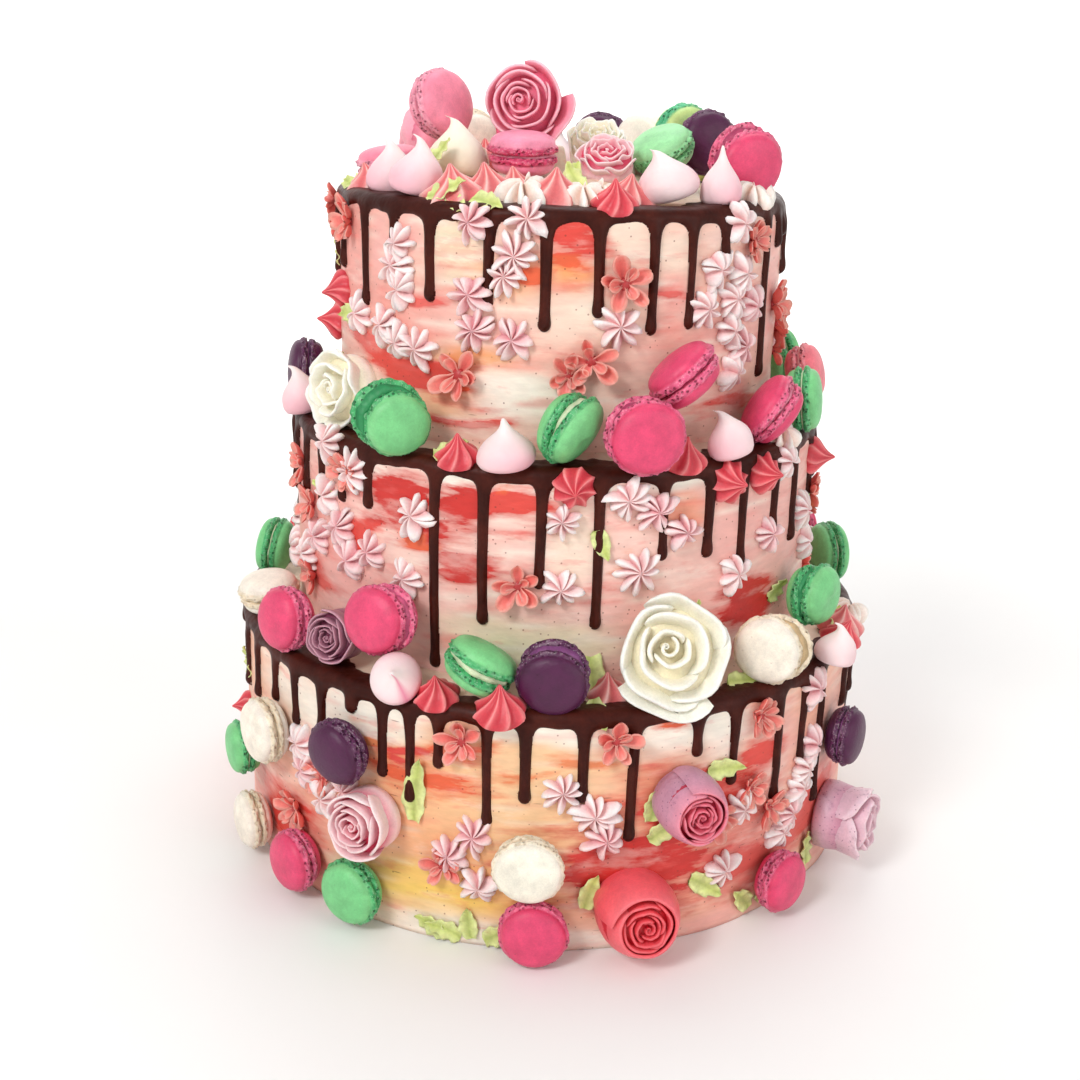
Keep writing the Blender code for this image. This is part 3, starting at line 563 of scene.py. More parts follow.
def add_rose(shape, centre, normal, across, depth, look, seed, form="wound", columns=15,
             opening=(0.0, 0.0), speck=0.0, tip=(0.0, 0.0, 0.0), size=1.0, skirt=None):
    """A piped rose: a wound heart in rings of overlapping petals on a core of cream. The opening
    is how far its rings shift aside, up and to the left, as a share of the radius."""
    rng = np.random.default_rng(seed)
    radius, half = size * across / 2.0, size * depth / 2.0
    outer, inner, lip, heart = (linear(c) for c in ROSE_LOOKS[look])
    pose = (axes_along(normal + np.asarray(tip)), centre)
    shift = np.asarray(opening) * radius
    fill = CORE_FILL[form]
    core = [(0.70, -1.0), (0.86, -0.88), (0.88, -0.50), (0.80, -0.05 + fill), (0.60, 0.16 + fill),
            (0.30, 0.22 + fill)]
    rings = np.array([turned_ring(r * radius, h * half, around(CORE_POINTS)) for r, h in core])
    shades = np.array([[blend(outer, heart, smooth(-0.6, 0.1, h))] for _, h in core])
    shape.sheet(rings, shades, pose, speck, low=-half * UP, high=half * (0.22 + fill) * UP, slot=2)
    phase = rng.uniform(0.0, TAU)
    rings = ROSE_FORMS[form]
    for number, (count, share, top, flare, sweep, thick, wave, fall) in enumerate(rings):
        deep = number / (len(rings) - 1.0)
        within = blend(heart, inner, min(1.0, 0.25 + deep))
        back = blend(within, outer, smooth(0.70, 1.0, deep))
        # The third colour is the painted highlight on the petals' lips
        colours = (back, within, blend(inner, lip, 0.55 + 0.45 * deep))
        lean = shift * (1.0 - share if number < len(rings) - 1 else 0.30)
        for k in range(count):
            petal = Petal(
                phase + TAU * (k + rng.uniform(-0.05, 0.05)) / count, math.radians(sweep),
                radius * share * rng.uniform(0.97, 1.03), PETAL_FOOT[form], -half * (0.30 + 0.66 * deep),
                half * top * rng.uniform(0.90, 1.0), radius * flare * rng.uniform(0.8, 1.2),
                radius * (0.055 if count > 1 else 0.07), thick * radius / 20.0, wave, fall)
            add_petal(shape, pose, petal, colours, rng.integers(1 << 30), lean, speck * deep,
                      max(columns, int(columns * sweep / 130.0)))
        phase += math.pi / count + rng.uniform(-0.25, 0.25)
    if skirt is not None:
        petal = Petal(skirt, 1.7, 0.86 * radius, 0.8, -0.5 * half, 0.45 * half, 0.34 * radius,
                      0.0, 1.8, 0.14, 0.2)
        add_petal(shape, pose, petal, (outer, inner, lip), seed, (0.0, 0.0), 0.0, columns)
    # a twist of cream at the heart
    s = np.linspace(0.0, 1.0, TWIST_POINTS)
    reach = radius * (0.01 + 0.055 * s)
    twist = np.array([turned_ring(np.maximum(reach + out, 0.05), height * half, s * 1.5 * TAU + phase)
                      for out, height in ((0.5, 0.2), (0.5, 0.70), (0.0, 0.78), (-0.5, 0.70), (-0.5, 0.2))])
    twist[..., :2] += shift
    # The top of the twist takes the lip's painted highlight
    tones = np.array([heart, heart, blend(inner, lip, 0.5), inner, heart])[:, None]
    shape.sheet(twist, tones, pose, wrap=False, slot=2)


# The toppings in the order of their seeds. A name's third word is the look, unless another is
# given. Faces is the azimuth and lift of what isn't a macaron: a macaron's own solid shows that.
ITEMS = {
    "top_macaron_rose": {},
    "top_rose_pink": dict(look="rose", faces=(-6, 8), opening=(0.04, 0.16), size=0.96, skirt=-2.2),
    "top_macaron_flat": dict(look="pink", slip=(0.5, 0.8)),
    "top_kiss_cream": dict(look="white", faces=(0, 88)),
    "top_kiss_pale_1": dict(faces=(20, 78)),
    "top_kiss_pale_2": dict(faces=(60, 76)),
    "top_macaron_lying": dict(look="rose"),
    "top_macaron_mint": {},
    "top_macaron_lime": {},
    "top_macaron_purple": {},
    "top_macaron_magenta": dict(slip=(-2.6, -3.0), tip=(0.10, 0.0, -0.12), cream="C04A70"),
    "top_kiss_pale_3": dict(faces=(-60, 70), curl=0.6),
    "top_kiss_pale_4": dict(faces=(0, 86), curl=0.1),
    "top_rose_pale": dict(faces=(0, 74), form="frill", tip=(0.0, -0.2, 0.0)),
    "top_rose_cream": dict(look="white", faces=(0, 70), form="frill", tip=(0.0, -0.2, 0.0)),
    "middle_macaron_purple": {},
    "middle_kiss_1": dict(look="pale", faces=(-60, 80)),
    "middle_rose_white": dict(faces=(-58, 6), form="broad", tip=(0.30, 0.0, 0.0)),
    "middle_macaron_green_1": dict(front=0.89, slip=(-3.8, -4.4), tip=(0.14, 0.0, -0.16), cream="2F8E55"),
    "middle_kiss_2": dict(look="pale", faces=(-20, 84), curl=0.2),
    "middle_macaron_green_2": dict(gape=6.5, tip=(0.13, 0.20, -0.07)),
    "middle_macaron_magenta_1": dict(slip=(-1.2, -1.5), tip=(0.03, 0.0, -0.05), cream="B03860"),
    "middle_macaron_magenta_2": dict(tip=(-0.07, 0.35, 0.02), cream="A82E55"),
    "middle_kiss_3": dict(look="pale", faces=(-70, 72)),
    "middle_macaron_magenta_3": dict(gape=1.6, tip=(0.05, 0.20, 0.10)),
    "middle_macaron_green_3": {},
    "middle_macaron_coral": {},
    "bottom_macaron_green_1": {},
    "bottom_macaron_cream_1": {},
    "bottom_macaron_magenta_1": dict(slip=(-0.8, 2.4), tip=(-0.12, 0.0, 0.0), cream="DA5C84"),
    "bottom_rose_mauve": dict(faces=(-43, 8), speck=0.5, tip=(0.25, 0.0, 0.0)),
    "bottom_macaron_magenta_2": dict(slip=(-1.6, 3.6), tip=(-0.12, -0.1, 0.0), cream="DA5C84"),
    "bottom_kiss_1": dict(look="pale", faces=(4, 34), curl=0.3, streak=1.0),
    "bottom_macaron_green_2": dict(gape=6.0, gape_at=1.6),
    "bottom_macaron_purple": dict(slip=(-4.0, 0.8), tip=(-0.04, 0.0, -0.16)),
    "bottom_rose_white": dict(faces=(8, 20), form="broad", opening=(0.16, 0.24), skirt=2.9),
    "bottom_macaron_cream_2": dict(slip=(-1.0, 4.4), tip=(0.0, 0.0, -0.1), cream="D9B98C"),
    "bottom_macaron_green_3": dict(slip=(0.0, -3.6), gape=3.0, tip=(-0.12, -0.15, 0.0), cream="3A9A60"),
    "bottom_kiss_2": dict(look="pale", faces=(90, 80)),
    "side_macaron_cream_1": {},
    "side_macaron_green_1": {},
    "side_macaron_cream_2": {},
    "side_macaron_purple_1": {},
    "side_macaron_magenta_1": {},
    "side_macaron_green_2": {},
    "side_rose_pink": dict(look="pale", faces=(-30, 4), opening=(0.02, 0.06)),
    "side_macaron_white": {},
    "side_macaron_magenta_2": {},
    "side_rose_red": dict(faces=(17, -4), form="drum", size=0.96, sink=2.4, opening=(-0.10, -0.12),
                          tip=(-0.08, 0.0, 0.18)),
    "side_rose_mauve": dict(look="cup", faces=(24, -8), form="drum", opening=(-0.10, -0.10), speck=1.0,
                            tip=(-0.12, 0.0, 0.22)),
    "side_macaron_purple_2": {},
    "side_rose_pale": dict(look="lilac", faces=(64, 0), speck=1.0, size=0.93, sink=2.6),
    "side_macaron_magenta_3": {},
}
SLOTS = {"rose_rose": "rose_pink", "rose_pale": "rose_pink", "rose_lilac": "rose_pink",
         "rose_cup": "rose_mauve", "macaron_white": "macaron_cream", "macaron_pink": "macaron_rose"}
ADDERS = {"macaron": add_macaron, "kiss": add_kiss, "rose": add_rose}
# A rose's petals spread this much past the width that it is given
ROSE_SPREAD = 1.05


def node_points(name):
    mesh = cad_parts[name].data
    points = np.empty(len(mesh.vertices) * 3, np.float32)
    mesh.vertices.foreach_get("co", points)
    return points.reshape(-1, 3).astype(float) / MM


def measured_macaron(points):
    """Centre, the way it faces, width and depth of a macaron's solid."""
    centre = points.mean(0)
    radial = points - centre
    normal = unit(np.linalg.eigh(radial.T @ radial)[1][:, 0])
    if normal[2] < normal[1]:
        normal = -normal
    reach = np.linalg.norm(radial - np.outer(radial @ normal, normal), axis=1).max()
    return centre, normal, 2.0 * reach, np.ptp(radial @ normal)


def measured(points, normal):
    """The same of a topping that is known to face along the normal, by its foot."""
    along = points @ normal
    low, high = along.min(), along.max()
    middle = points - np.outer(along, normal)
    centre = middle[along < low + 0.25 * (high - low)].mean(0)
    reach = np.linalg.norm(middle - centre, axis=1).max()
    return centre + normal * (low + high) / 2.0, normal, 2.0 * reach, high - low


placed = []
for number, (name, special) in enumerate(ITEMS.items()):
    kind, word = name.split("_")[1:3]
    look = special.pop("look", word)
    faces, sink = special.pop("faces", None), special.pop("sink", 0.0)
    if kind == "macaron":
        centre, normal, across, depth = measured_macaron(node_points(name))
    else:
        centre, normal, across, depth = measured(node_points(name), facing(*faces))
        centre = centre - normal * sink
    shape = Shape()
    ADDERS[kind](shape, centre, normal, across / (ROSE_SPREAD if kind == "rose" else 1.0), depth, look,
                 100 + number, **special)
    slot = "meringue" if kind == "kiss" else SLOTS.get(f"{kind}_{look}", f"{kind}_{look}")
    dress(shape.make(name + "_dressed", FOODS), slot, name)
    placed.append((centre, across / 2.0, depth / 2.0))

# The far side's rows: kind, look, width and depth of each member
MIXED_ROW = [
    ("macaron", "green", 37, 20), ("kiss", "pale", 29, 29), ("macaron", "magenta", 37, 20),
    ("rose", "white", 41, 24), ("macaron", "purple", 36, 20), ("kiss", "pale", 30, 30),
    ("macaron", "magenta", 37, 21), ("macaron", "cream", 36, 20), ("rose", "rose", 42, 26),
    ("macaron", "purple", 35, 20), ("kiss", "pale", 30, 28), ("macaron", "green", 36, 20),
    ("macaron", "magenta", 37, 20), ("rose", "mauve", 38, 24),
]
# Distance between two neighbours as a share of touching, and how far each stands off the cream
NESTLE, CLEARANCE = 0.79, 0.6
Row = namedtuple("Row", "name azimuth radius floor wall height climb members")
ROWS = [
    Row("top_group", 146, 90, 361.5, 0, 19, 0, MIXED_ROW[3:9]),
    Row("middle_group", 108, 140, 243.5, 120, 19, 0, MIXED_ROW[:12]),
    Row("bottom_group", 96, 168, 131.5, 146, 19, 0, MIXED_ROW),
    Row("side_group", 150, 178, 0, 178, 70, -12, MIXED_ROW[2:5] + MIXED_ROW[6:8]),
]
for number, row in enumerate(ROWS):
    shape = Shape()
    azimuth, height, last = row.azimuth, row.height, None
    for step, (kind, look, across, depth) in enumerate(row.members):
        if last is not None:
            apart = NESTLE * (across + last) / 2.0
            climb = row.climb if step < len(row.members) / 2 else -row.climb
            azimuth += math.degrees(math.sqrt(apart ** 2 - climb ** 2) / row.radius)
            height += climb
        last = across
        seed = 1000 + 40 * number + step
        reach = max(row.radius, row.wall + depth / 2.0 + 0.2)
        stand = depth / 2.0 + CLEARANCE if kind == "kiss" else max(height, across / 2.0 + CLEARANCE)
        centre = place(azimuth, reach, row.floor + stand)
        if kind == "macaron":
            swing, nod = 7.0 * math.sin(2.3 * seed), 5.0 * math.sin(3.1 * seed)
            add_macaron(shape, centre, facing(azimuth + swing, 5 + nod), across, depth, look, seed, 48)
        elif kind == "kiss":
            add_kiss(shape, centre, facing(azimuth, 82), across, depth, look, seed, -outward(azimuth), 28)
        else:
            form = "broad" if look == "white" else "wound"
            add_rose(shape, centre, facing(azimuth, 5), across, depth, look, seed, form, 11, size=0.95)
        placed.append((centre, across / 2.0, depth / 2.0))
    dress(shape.make(row.name + "_dressed", FOODS), "toppings", row.name)

# Tiers

CORNER = 5.0
ARC = CORNER * math.pi / 2.0


def rim_path(tier, v):
    """Radius and height of the icing at v, measured over the rim: below 0 on the ledge, above 0
    down the wall; and the radial and upward share of the way it faces."""
    turn = np.clip((v + ARC / 2.0) / CORNER, 0.0, math.pi / 2.0)
    radius = tier.radius - CORNER + CORNER * np.sin(turn) + np.minimum(v + ARC / 2.0, 0.0)
    height = tier.rim - CORNER + CORNER * np.cos(turn) - np.maximum(v - ARC / 2.0, 0.0)
    return radius, height, np.sin(turn), np.cos(turn)


def on_surface(tier, azimuths, v, stand):
    """Points over the rim and wall at the given azimuths, standing off the uneven icing."""
    radius, height, out, up = rim_path(tier, v)
    sin, cos = np.sin(azimuths), -np.cos(azimuths)
    base = np.stack([radius * sin, radius * cos, height], -1)
    stand = stand + 0.34 * ripple(base, 46.0, 7) + 0.12 * ripple(base, 17.0, 8)
    return base + np.stack([out * sin * stand, out * cos * stand, up * stand], -1)


# Brushed colour on each wall. Wash: azimuth, height, half width and half height of a soft patch,
# its colour and strength. Stroke: the same for a patch with torn edges, without a strength.
GROUND = {"top": "EFC2B0", "middle": "EEBEB2", "bottom": "EFB698"}
WASH = {
    "white": "F7EFE1", "cream": "F3DCC8", "straw": "EBDFBE", "blush": "F1CBBE", "pink": "EFAFA6",
    "rose": "E89A90", "peach": "F0B488", "honey": "F2C99A", "clay": "EC9876", "amber": "F0A25E",
    "yellow": "F3CB62",
}
STROKE = {"red": "CA322C", "scarlet": "DC4A40", "flame": "E5643F", "salmon": "E2675E", "apricot": "E88A5C"}
WASHES = {
    "top": [
        (-60, 322, 16, 50, "rose", 0.8), (-47, 338, 3.5, 19, "pink", 0.9), (-37, 346, 6, 14, "pink", 0.85),
        (-24, 342, 7, 17, "straw", 0.9), (-11, 348, 6, 11, "blush", 0.8), (-35, 311, 15, 11, "rose", 0.85),
        (-12, 328, 9, 9, "peach", 0.85), (-16, 307, 12, 11, "blush", 0.7), (3, 331, 5, 7, "amber", 0.95),
        (8, 312, 11, 13, "cream", 0.95), (15, 349, 7, 11, "cream", 0.9), (27, 344, 5, 11, "cream", 0.85),
        (28, 320, 5, 10, "rose", 0.9), (42, 348, 8, 11, "blush", 0.85), (-22, 288, 11, 7, "amber", 0.95),
        (-5, 273, 15, 12, "white", 0.95), (-31, 265, 10, 11, "peach", 0.8), (22, 276, 12, 20, "cream", 0.8),
        (47, 299, 14, 28, "pink", 0.8), (67, 308, 10, 50, "pink", 0.85),
    ],
    "middle": [
        (-32, 236, 7, 4, "white", 0.95), (-31, 195, 7, 16, "blush", 0.85), (-20, 231, 4, 6, "white", 0.9),
        (-19, 187, 4, 18, "blush", 0.85), (-9, 238, 5, 5, "white", 0.9), (-7, 203, 5, 26, "blush", 0.9),
        (4, 207, 5, 23, "cream", 0.9), (16, 205, 5, 22, "blush", 0.85), (26, 219, 6, 9, "clay", 0.85),
        (26, 235, 4, 5, "white", 0.95), (40, 197, 8, 23, "pink", 0.85), (59, 191, 11, 35, "pink", 0.85),
        (-4, 153, 18, 13, "straw", 0.95), (-46, 186, 7, 28, "pink", 0.85), (-66, 180, 13, 39, "rose", 0.85),
        (27, 167, 13, 14, "pink", 0.8), (-2, 236, 7, 8, "white", 0.95), (24, 237, 6, 7, "white", 0.95),
        (-20, 236, 6, 7, "white", 0.9), (12, 236, 5, 7, "white", 0.9), (-34, 232, 8, 10, "white", 0.85),
    ],
    "bottom": [
        (-31, 116, 4, 7, "white", 0.9), (-42, 103, 4, 12, "cream", 0.9), (-24, 114, 2.5, 8, "honey", 0.85),
        (-19, 93, 9, 17, "amber", 0.9), (-4, 124, 6, 9, "white", 0.95), (1, 101, 11, 15, "honey", 0.85),
        (7, 125, 5, 9, "honey", 0.85), (-14, 60, 10, 22, "amber", 0.95), (-17, 27, 15, 14, "yellow", 0.95),
        (-12, 6, 16, 9, "white", 0.95), (2, 72, 7, 14, "peach", 0.85), (20, 116, 5, 13, "white", 0.95),
        (30, 111, 4, 18, "blush", 0.85), (42, 94, 7, 30, "pink", 0.85), (19, 85, 7, 19, "clay", 0.85),
        (38, 41, 11, 31, "rose", 0.85), (10, 4, 7, 9, "white", 0.9), (29, 3, 13, 12, "pink", 0.8),
        (-58, 25, 19, 45, "rose", 0.9), (63, 55, 13, 63, "pink", 0.85), (-35, 15, 4, 14, "straw", 0.85),
        (3, 122, 5, 9, "white", 0.95), (13, 123, 6, 8, "white", 0.95), (21, 124, 6, 8, "white", 0.95),
        (28, 122, 4, 8, "white", 0.9), (-24, 120, 5, 9, "white", 0.9), (-33, 122, 5, 9, "white", 0.8),
        (-12, 84, 15, 30, "honey", 0.75), (-20, 62, 9, 18, "peach", 0.7), (-3, 70, 9, 22, "honey", 0.6),
        (-46, 112, 12, 20, "white", 0.80), (-30, 118, 8, 14, "white", 0.80), (31, 116, 7, 13, "white", 0.80),
    ],
}
STROKES = {
    "top": [
        (3, 349, 6, 9, "scarlet"), (3, 337, 5, 3.5, "flame"), (-38, 280, 13, 10, "scarlet"),
        (-26, 273, 5, 3, "flame"), (-22, 259, 9, 4, "scarlet"), (27, 321, 5, 2.5, "salmon"),
        (-34, 312, 6, 3, "salmon"), (-6, 329, 3, 2, "flame"), (52, 263, 14, 4, "salmon"),
        (-56, 289, 8, 5, "salmon"),
    ],
    "middle": [
        (-31, 221, 10, 14, "red"), (-26, 211, 6, 9, "red"), (-17, 221, 6, 12, "red"),
        (-8, 225, 6, 8, "scarlet"), (-18, 194, 6, 8, "red"), (-26, 201, 4, 4, "flame"),
        (45, 161, 8, 12, "red"), (-10, 233, 2.5, 2.5, "flame"), (-42, 197, 4, 7, "scarlet"),
        (15, 195, 3, 3, "apricot"), (-66, 159, 13, 9, "salmon"), (5, 239, 3.5, 2.5, "apricot"),
    ],
    "bottom": [
        (15, 44, 13, 20, "red"), (26, 75, 11, 20, "scarlet"), (38, 34, 11, 12, "salmon"),
        (-19, 90, 8, 6, "flame"), (-23, 102, 3.5, 4, "scarlet"), (-14, 105, 4, 3.5, "flame"),
        (-3, 99, 6, 2.5, "apricot"), (7, 107, 4.5, 3.5, "apricot"), (1, 50, 4.5, 6, "flame"),
        (-52, 35, 8, 16, "scarlet"), (20, 123, 4, 3.5, "flame"), (39, 95, 4.5, 7, "scarlet"),
        (-30, 106, 3.5, 3.5, "apricot"), (-7, 117, 2.5, 2.5, "apricot"), (57, 48, 10, 14, "salmon"),
    ],
}
# Marbling drawn out sideways: colour, where it starts in the ripple, strength and seed
VEINS = (("E4766C", 0.70, 0.42, 63), ("F8EFE0", 0.60, 0.48, 64), ("E4766C", 1.1, 0.5, 65))
STROKE_EDGE = "DC4A42"


# Behind: the azimuth that stands for 0, how far the marks spread, how much wider each is, and up to
# which azimuth of the front they are repeated
FAR_MIDDLE, FAR_SPREAD, FAR_WIDER, FAR_LIMIT = 184.0, 1.35, 1.3, 62.0


def all_round(marks):
    """The marks measured in front, and the same again on the far side, spread a little wider."""
    return marks + [(FAR_MIDDLE - FAR_SPREAD * centre, height, FAR_WIDER * wide, *rest)
                    for centre, height, wide, *rest in marks if abs(centre) < FAR_LIMIT]


def paint(tier, azimuths, heights):
    """Base colour, stroke colour and stroke cover of the icing at each point."""
    turns, reach = np.radians(azimuths), tier.radius * 0.42
    where = np.stack([reach * np.sin(turns), reach * np.cos(turns), 1.9 * heights], -1)
    azimuths = azimuths + 1.1 * ripple(where, 22.0, 62)
    heights = heights + 3.2 * ripple(where, 30.0, 61)

    def away(centre, height, wide, tall):
        turned = (azimuths - centre + 180.0) % 360.0 - 180.0
        return (turned / wide) ** 2 + ((heights - height) / tall) ** 2

    colour = np.broadcast_to(linear(GROUND[tier.name]), azimuths.shape + (3,))
    for *patch, tint, strength in all_round(WASHES[tier.name]):
        colour = blend(colour, linear(WASH[tint]), strength * np.exp(-0.8 * away(*patch) ** 1.6))
    for tint, low, strength, seed in VEINS:
        vein = smooth(low, low + 0.9, ripple(where * np.array([1.0, 1.0, 1.7]), 19.0, seed))
        colour = blend(colour, linear(tint), strength * vein * (0.6 if tier is BOTTOM else 1.0))
    cover = np.zeros(azimuths.shape)
    stroke = np.broadcast_to(linear(STROKE_EDGE), azimuths.shape + (3,))
    for *patch, tint in all_round(STROKES[tier.name]):
        here = np.clip(1.0 - 0.5 * np.sqrt(away(*patch)), 0.0, 1.0)
        stroke = np.where((here > cover)[..., None], linear(STROKE[tint]), stroke)
        cover = np.maximum(cover, here)
    return colour, stroke, cover


# The bed of cream on the top, and its heaps: azimuth, distance, reach of foot and crown, height
BED_RADIUS, BED_HEIGHT = 72.0, 9.0
HEAPS = [(-30, 25, 17, 13, 23.0), (-66, 54, 12, 9, 22.0)]
# Distance between the icing's points round the wall, down it and over the ledge, then between the
# ganache's points round the wall and down it
ICING_STEPS = (2.8, 2.5, 2.6)
GANACHE_STEPS = (1.0, 1.2)


def top_height(x, y):
    """The cream on the top: a low bed in the middle, rumpled, with its heaps."""
    distance = np.hypot(x, y)
    where = np.stack([x, y, 0.0 * x], -1)
    rise = BED_HEIGHT * smooth(BED_RADIUS + 4.0, 0.80 * BED_RADIUS, distance)
    for azimuth, out, foot, crown, height in HEAPS:
        middle = outward(azimuth) * out
        away = np.hypot(x - middle[0], y - middle[1])
        rise = np.maximum(rise, height * smooth(foot + 1.0, crown, away))
    rumple = smooth(BED_RADIUS + 8.0, BED_RADIUS - 8.0, distance)
    return rise + rumple * (0.5 * ripple(where, 15.0, 21) - 0.3)


def build_icing(tier):
    """The wall, rim and ledge as one sheet, which creeps up a little where the next tier stands."""
    round_step, down_step, ledge_step = ICING_STEPS
    length = tier.rim - tier.foot - CORNER + ARC / 2.0
    ledge = tier.radius - tier.inner - 2.0 if tier.inner else tier.radius - 6.0
    v = np.concatenate([
        np.linspace(length, ARC / 2.0 + 1.0, round((length - ARC / 2.0) / down_step)),
        np.linspace(ARC / 2.0, -ARC / 2.0, 5),
        np.linspace(-ARC / 2.0 - 2.5, -ledge, round((ledge - ARC / 2.0) / ledge_step)),
    ])
    turns, levels = np.meshgrid(around(int(TAU * tier.radius / round_step)), v)
    points = on_surface(tier, turns, levels, 0.0)
    distance = np.hypot(points[..., 0], points[..., 1])
    flat = levels < -ARC / 2.0 - 1.0
    past = np.clip(distance - tier.inner, 0.0, 50.0)
    if tier.inner:
        points[..., 2] += 3.0 * np.exp(-past / 2.2) * flat
    else:
        points[..., 2] += top_height(points[..., 0], points[..., 1]) * flat
    points[0, :, 2] = tier.foot + (0.0 if tier is BOTTOM else 0.2)
    colour, stroke, cover = paint(tier, np.degrees(turns), points[..., 2])
    on_ledge = smooth(tier.radius - 5.0, tier.radius - 14.0, distance)
    colour = blend(colour, linear("EBD9C2"), 0.85 * on_ledge)
    # Painted shade: the ledge darkens to a brown where the next tier stands on it
    if tier.inner:
        colour = blend(colour, linear("C98F74"), 0.5 * np.exp(-past / 3.0) * on_ledge)
    shape = Shape()
    shape.sheet(points, colour, mask=cover * (1.0 - on_ledge), low=points[0, 0, 2] * UP,
                high=points[-1, :, 2].mean() * UP)
    piece = shape.make(f"tier_{tier.name}_icing", [ICING])
    ends = np.tile(linear(STROKE_EDGE), (2, 1))
    add_attribute(piece.data, "stroke", with_mask(np.concatenate([stroke.reshape(-1, 3), ends]), 1.0))
    dress(piece, "icing", "tier_" + tier.name)


# Azimuth and length of every string of chocolate
DRIPS = {
    "top": [(-77, 46), (-68, 40), (-54, 55), (-42, 22), (-31, 47), (-16, 47), (-3, 57), (9, 50), (22, 59),
            (32, 57), (42, 26), (61, 89), (69, 24), (78, 40), (98, 42), (118, 26), (139, 33), (161, 26),
            (180, 59), (201, 33), (222, 49), (242, 33), (261, 73)],
    "middle": [(-72, 44), (-63, 38), (-55, 40), (-47, 33), (-39, 32), (-23, 108), (-13, 81), (-2, 60),
               (9, 81), (22, 47), (32, 49), (41, 58), (51, 45), (60, 56), (72, 70), (89, 69), (109, 69),
               (125, 56), (144, 31), (161, 56), (179, 31), (198, 31), (217, 25), (235, 40), (250, 69),
               (271, 69)],
    "bottom": [(-70, 44), (-62, 40), (-54, 32), (-47, 37), (-40, 34), (-33, 16), (-27, 46), (-22, 56),
               (-17, 34), (-9, 62), (-3, 48), (6, 47), (14, 70), (25, 28), (32, 49), (42, 67), (49, 54),
               (55, 84), (67, 42), (84, 81), (100, 37), (114, 81), (132, 29), (148, 41), (164, 29),
               (178, 29), (193, 47), (210, 66), (226, 37), (241, 81), (259, 47), (273, 29)],
}
# Half width of a string, how far the band and the strings stand off, how soon their edge rounds
# over, and how far to each side of a string its shape is worked out
STRING, BAND_STAND, STRING_STAND, EDGE, WINDOW = 2.9, 1.5, 2.7, 1.15, 13.0
# How far in over the rim the band starts
BAND_START = {"bottom": 15.0, "middle": 15.0, "top": 17.0}


# Azimuths between which strings are added behind
FINE_FROM, FINE_TO = 65.0, 283.0


def fine_drips(drips):
    """Thin strings between the far drips, where the solids have none."""
    far = [azimuth for azimuth, _ in drips if azimuth > FINE_FROM]
    return [(0.5 * (a + b), 33.0 + 16.0 * math.sin(1.7 * a)) for a, b in zip(far, far[1:] + [FINE_TO])]


def string_inside(aside, level, end, wide):
    """How far inside a string a point is: it widens into the band and swells at its end."""
    reach = wide * (1.0 + 1.1 * np.exp(-np.clip(level - 3.0, 0.0, 90.0) / 3.6))
    bulge = 0.55 * np.exp(-((level - end + 4.0) / 3.6) ** 2)
    reach = reach * (1.0 - 0.10 * smooth(8.0, end - 12.0, level)) + bulge
    below = np.maximum(level - (end - reach), 0.0)
    return np.where(level < -2.0, -9.0, reach - np.sqrt(aside ** 2 + below ** 2))


def poured(tier, u, v):
    """How far inside the poured ganache each point is, and how far it stands off there."""
    rng = np.random.default_rng(31)
    length = TAU * tier.radius
    drips = DRIPS[tier.name] + fine_drips(DRIPS[tier.name])
    ring = np.stack([np.sin(u / tier.radius), np.cos(u / tier.radius), 0.0 * u], -1) * tier.radius
    lower = 5.2 + 0.9 * ripple(ring, 30.0, 41) + 0.5 * ripple(ring, 12.0, 42)
    inside = (lower - v) / 1.5
    thick = np.zeros(inside.shape)
    for azimuth, drop in drips:
        aside = (u - math.radians(azimuth % 360.0) * tier.radius + length / 2.0) % length - length / 2.0
        window = np.abs(aside) < WINDOW
        wide, drift = STRING * rng.uniform(0.90, 1.08), rng.uniform(-0.5, 0.5)
        end = drop - CORNER + ARC / 2.0
        aside = aside[window] - drift * np.sin(v / 19.0 + azimuth)
        string = string_inside(aside, v, end, wide)
        inside[:, window] = 1.5 * np.logaddexp(inside[:, window] / 1.5, string / 1.5)
        swell = np.exp(-((v - end + 5.0) / 4.0) ** 2) * 0.7 * (np.abs(aside) < 5.0)
        thick[:, window] = np.maximum(thick[:, window], swell)
    back = v + BAND_START[tier.name] + 2.0 * ripple(ring, 26.0, 43) + 1.2 * ripple(ring, 9.0, 44)
    inside = np.minimum(inside, back)
    full = BAND_STAND + (STRING_STAND - BAND_STAND) * smooth(3.0, 12.0, v) + thick
    edge = full * (1.0 - np.exp(-np.maximum(inside, 0.0) / EDGE))
    return inside, np.maximum(np.where(inside > 0.0, edge, inside * full / EDGE), -1.5)


def build_ganache(tier):
    """The band over the rim with its strings, cut out of one grid round the wall."""
    round_step, down_step = GANACHE_STEPS
    u = around(int(TAU * tier.radius / round_step)) * tier.radius
    longest = max(drop for _, drop in DRIPS[tier.name] + fine_drips(DRIPS[tier.name]))
    v = np.arange(-BAND_START[tier.name] - 4.0, longest + 4.0, down_step)[:, None]
    inside, stand = poured(tier, u, v)
    points = on_surface(tier, *np.broadcast_arrays(u / tier.radius, v), stand)
    index = np.arange(inside.size).reshape(inside.shape)
    index = np.hstack([index, index[:, :1]])
    held = inside > -0.75
    held = np.hstack([held, held[:, :1]])
    cell = held[:-1, :-1] & held[:-1, 1:] & held[1:, 1:] & held[1:, :-1]
    # v runs down the wall, so the rows are taken the other way round
    quads = np.stack([index[1:, :-1], index[1:, 1:], index[:-1, 1:], index[:-1, :-1]], -1)[cell]
    used, quads = np.unique(quads, return_inverse=True)
    shape = Shape()
    brown = np.tile(linear("3E1F1F"), (len(used), 1))
    shape.add_points(points.reshape(-1, 3)[used], with_mask(brown, 0.0))
    shape.faces.append((quads.reshape(-1, 4), 0))
    dress(shape.make(f"tier_{tier.name}_ganache", [GANACHE]), "icing", "tier_" + tier.name)


for tier in TIERS:
    build_icing(tier)
    build_ganache(tier)

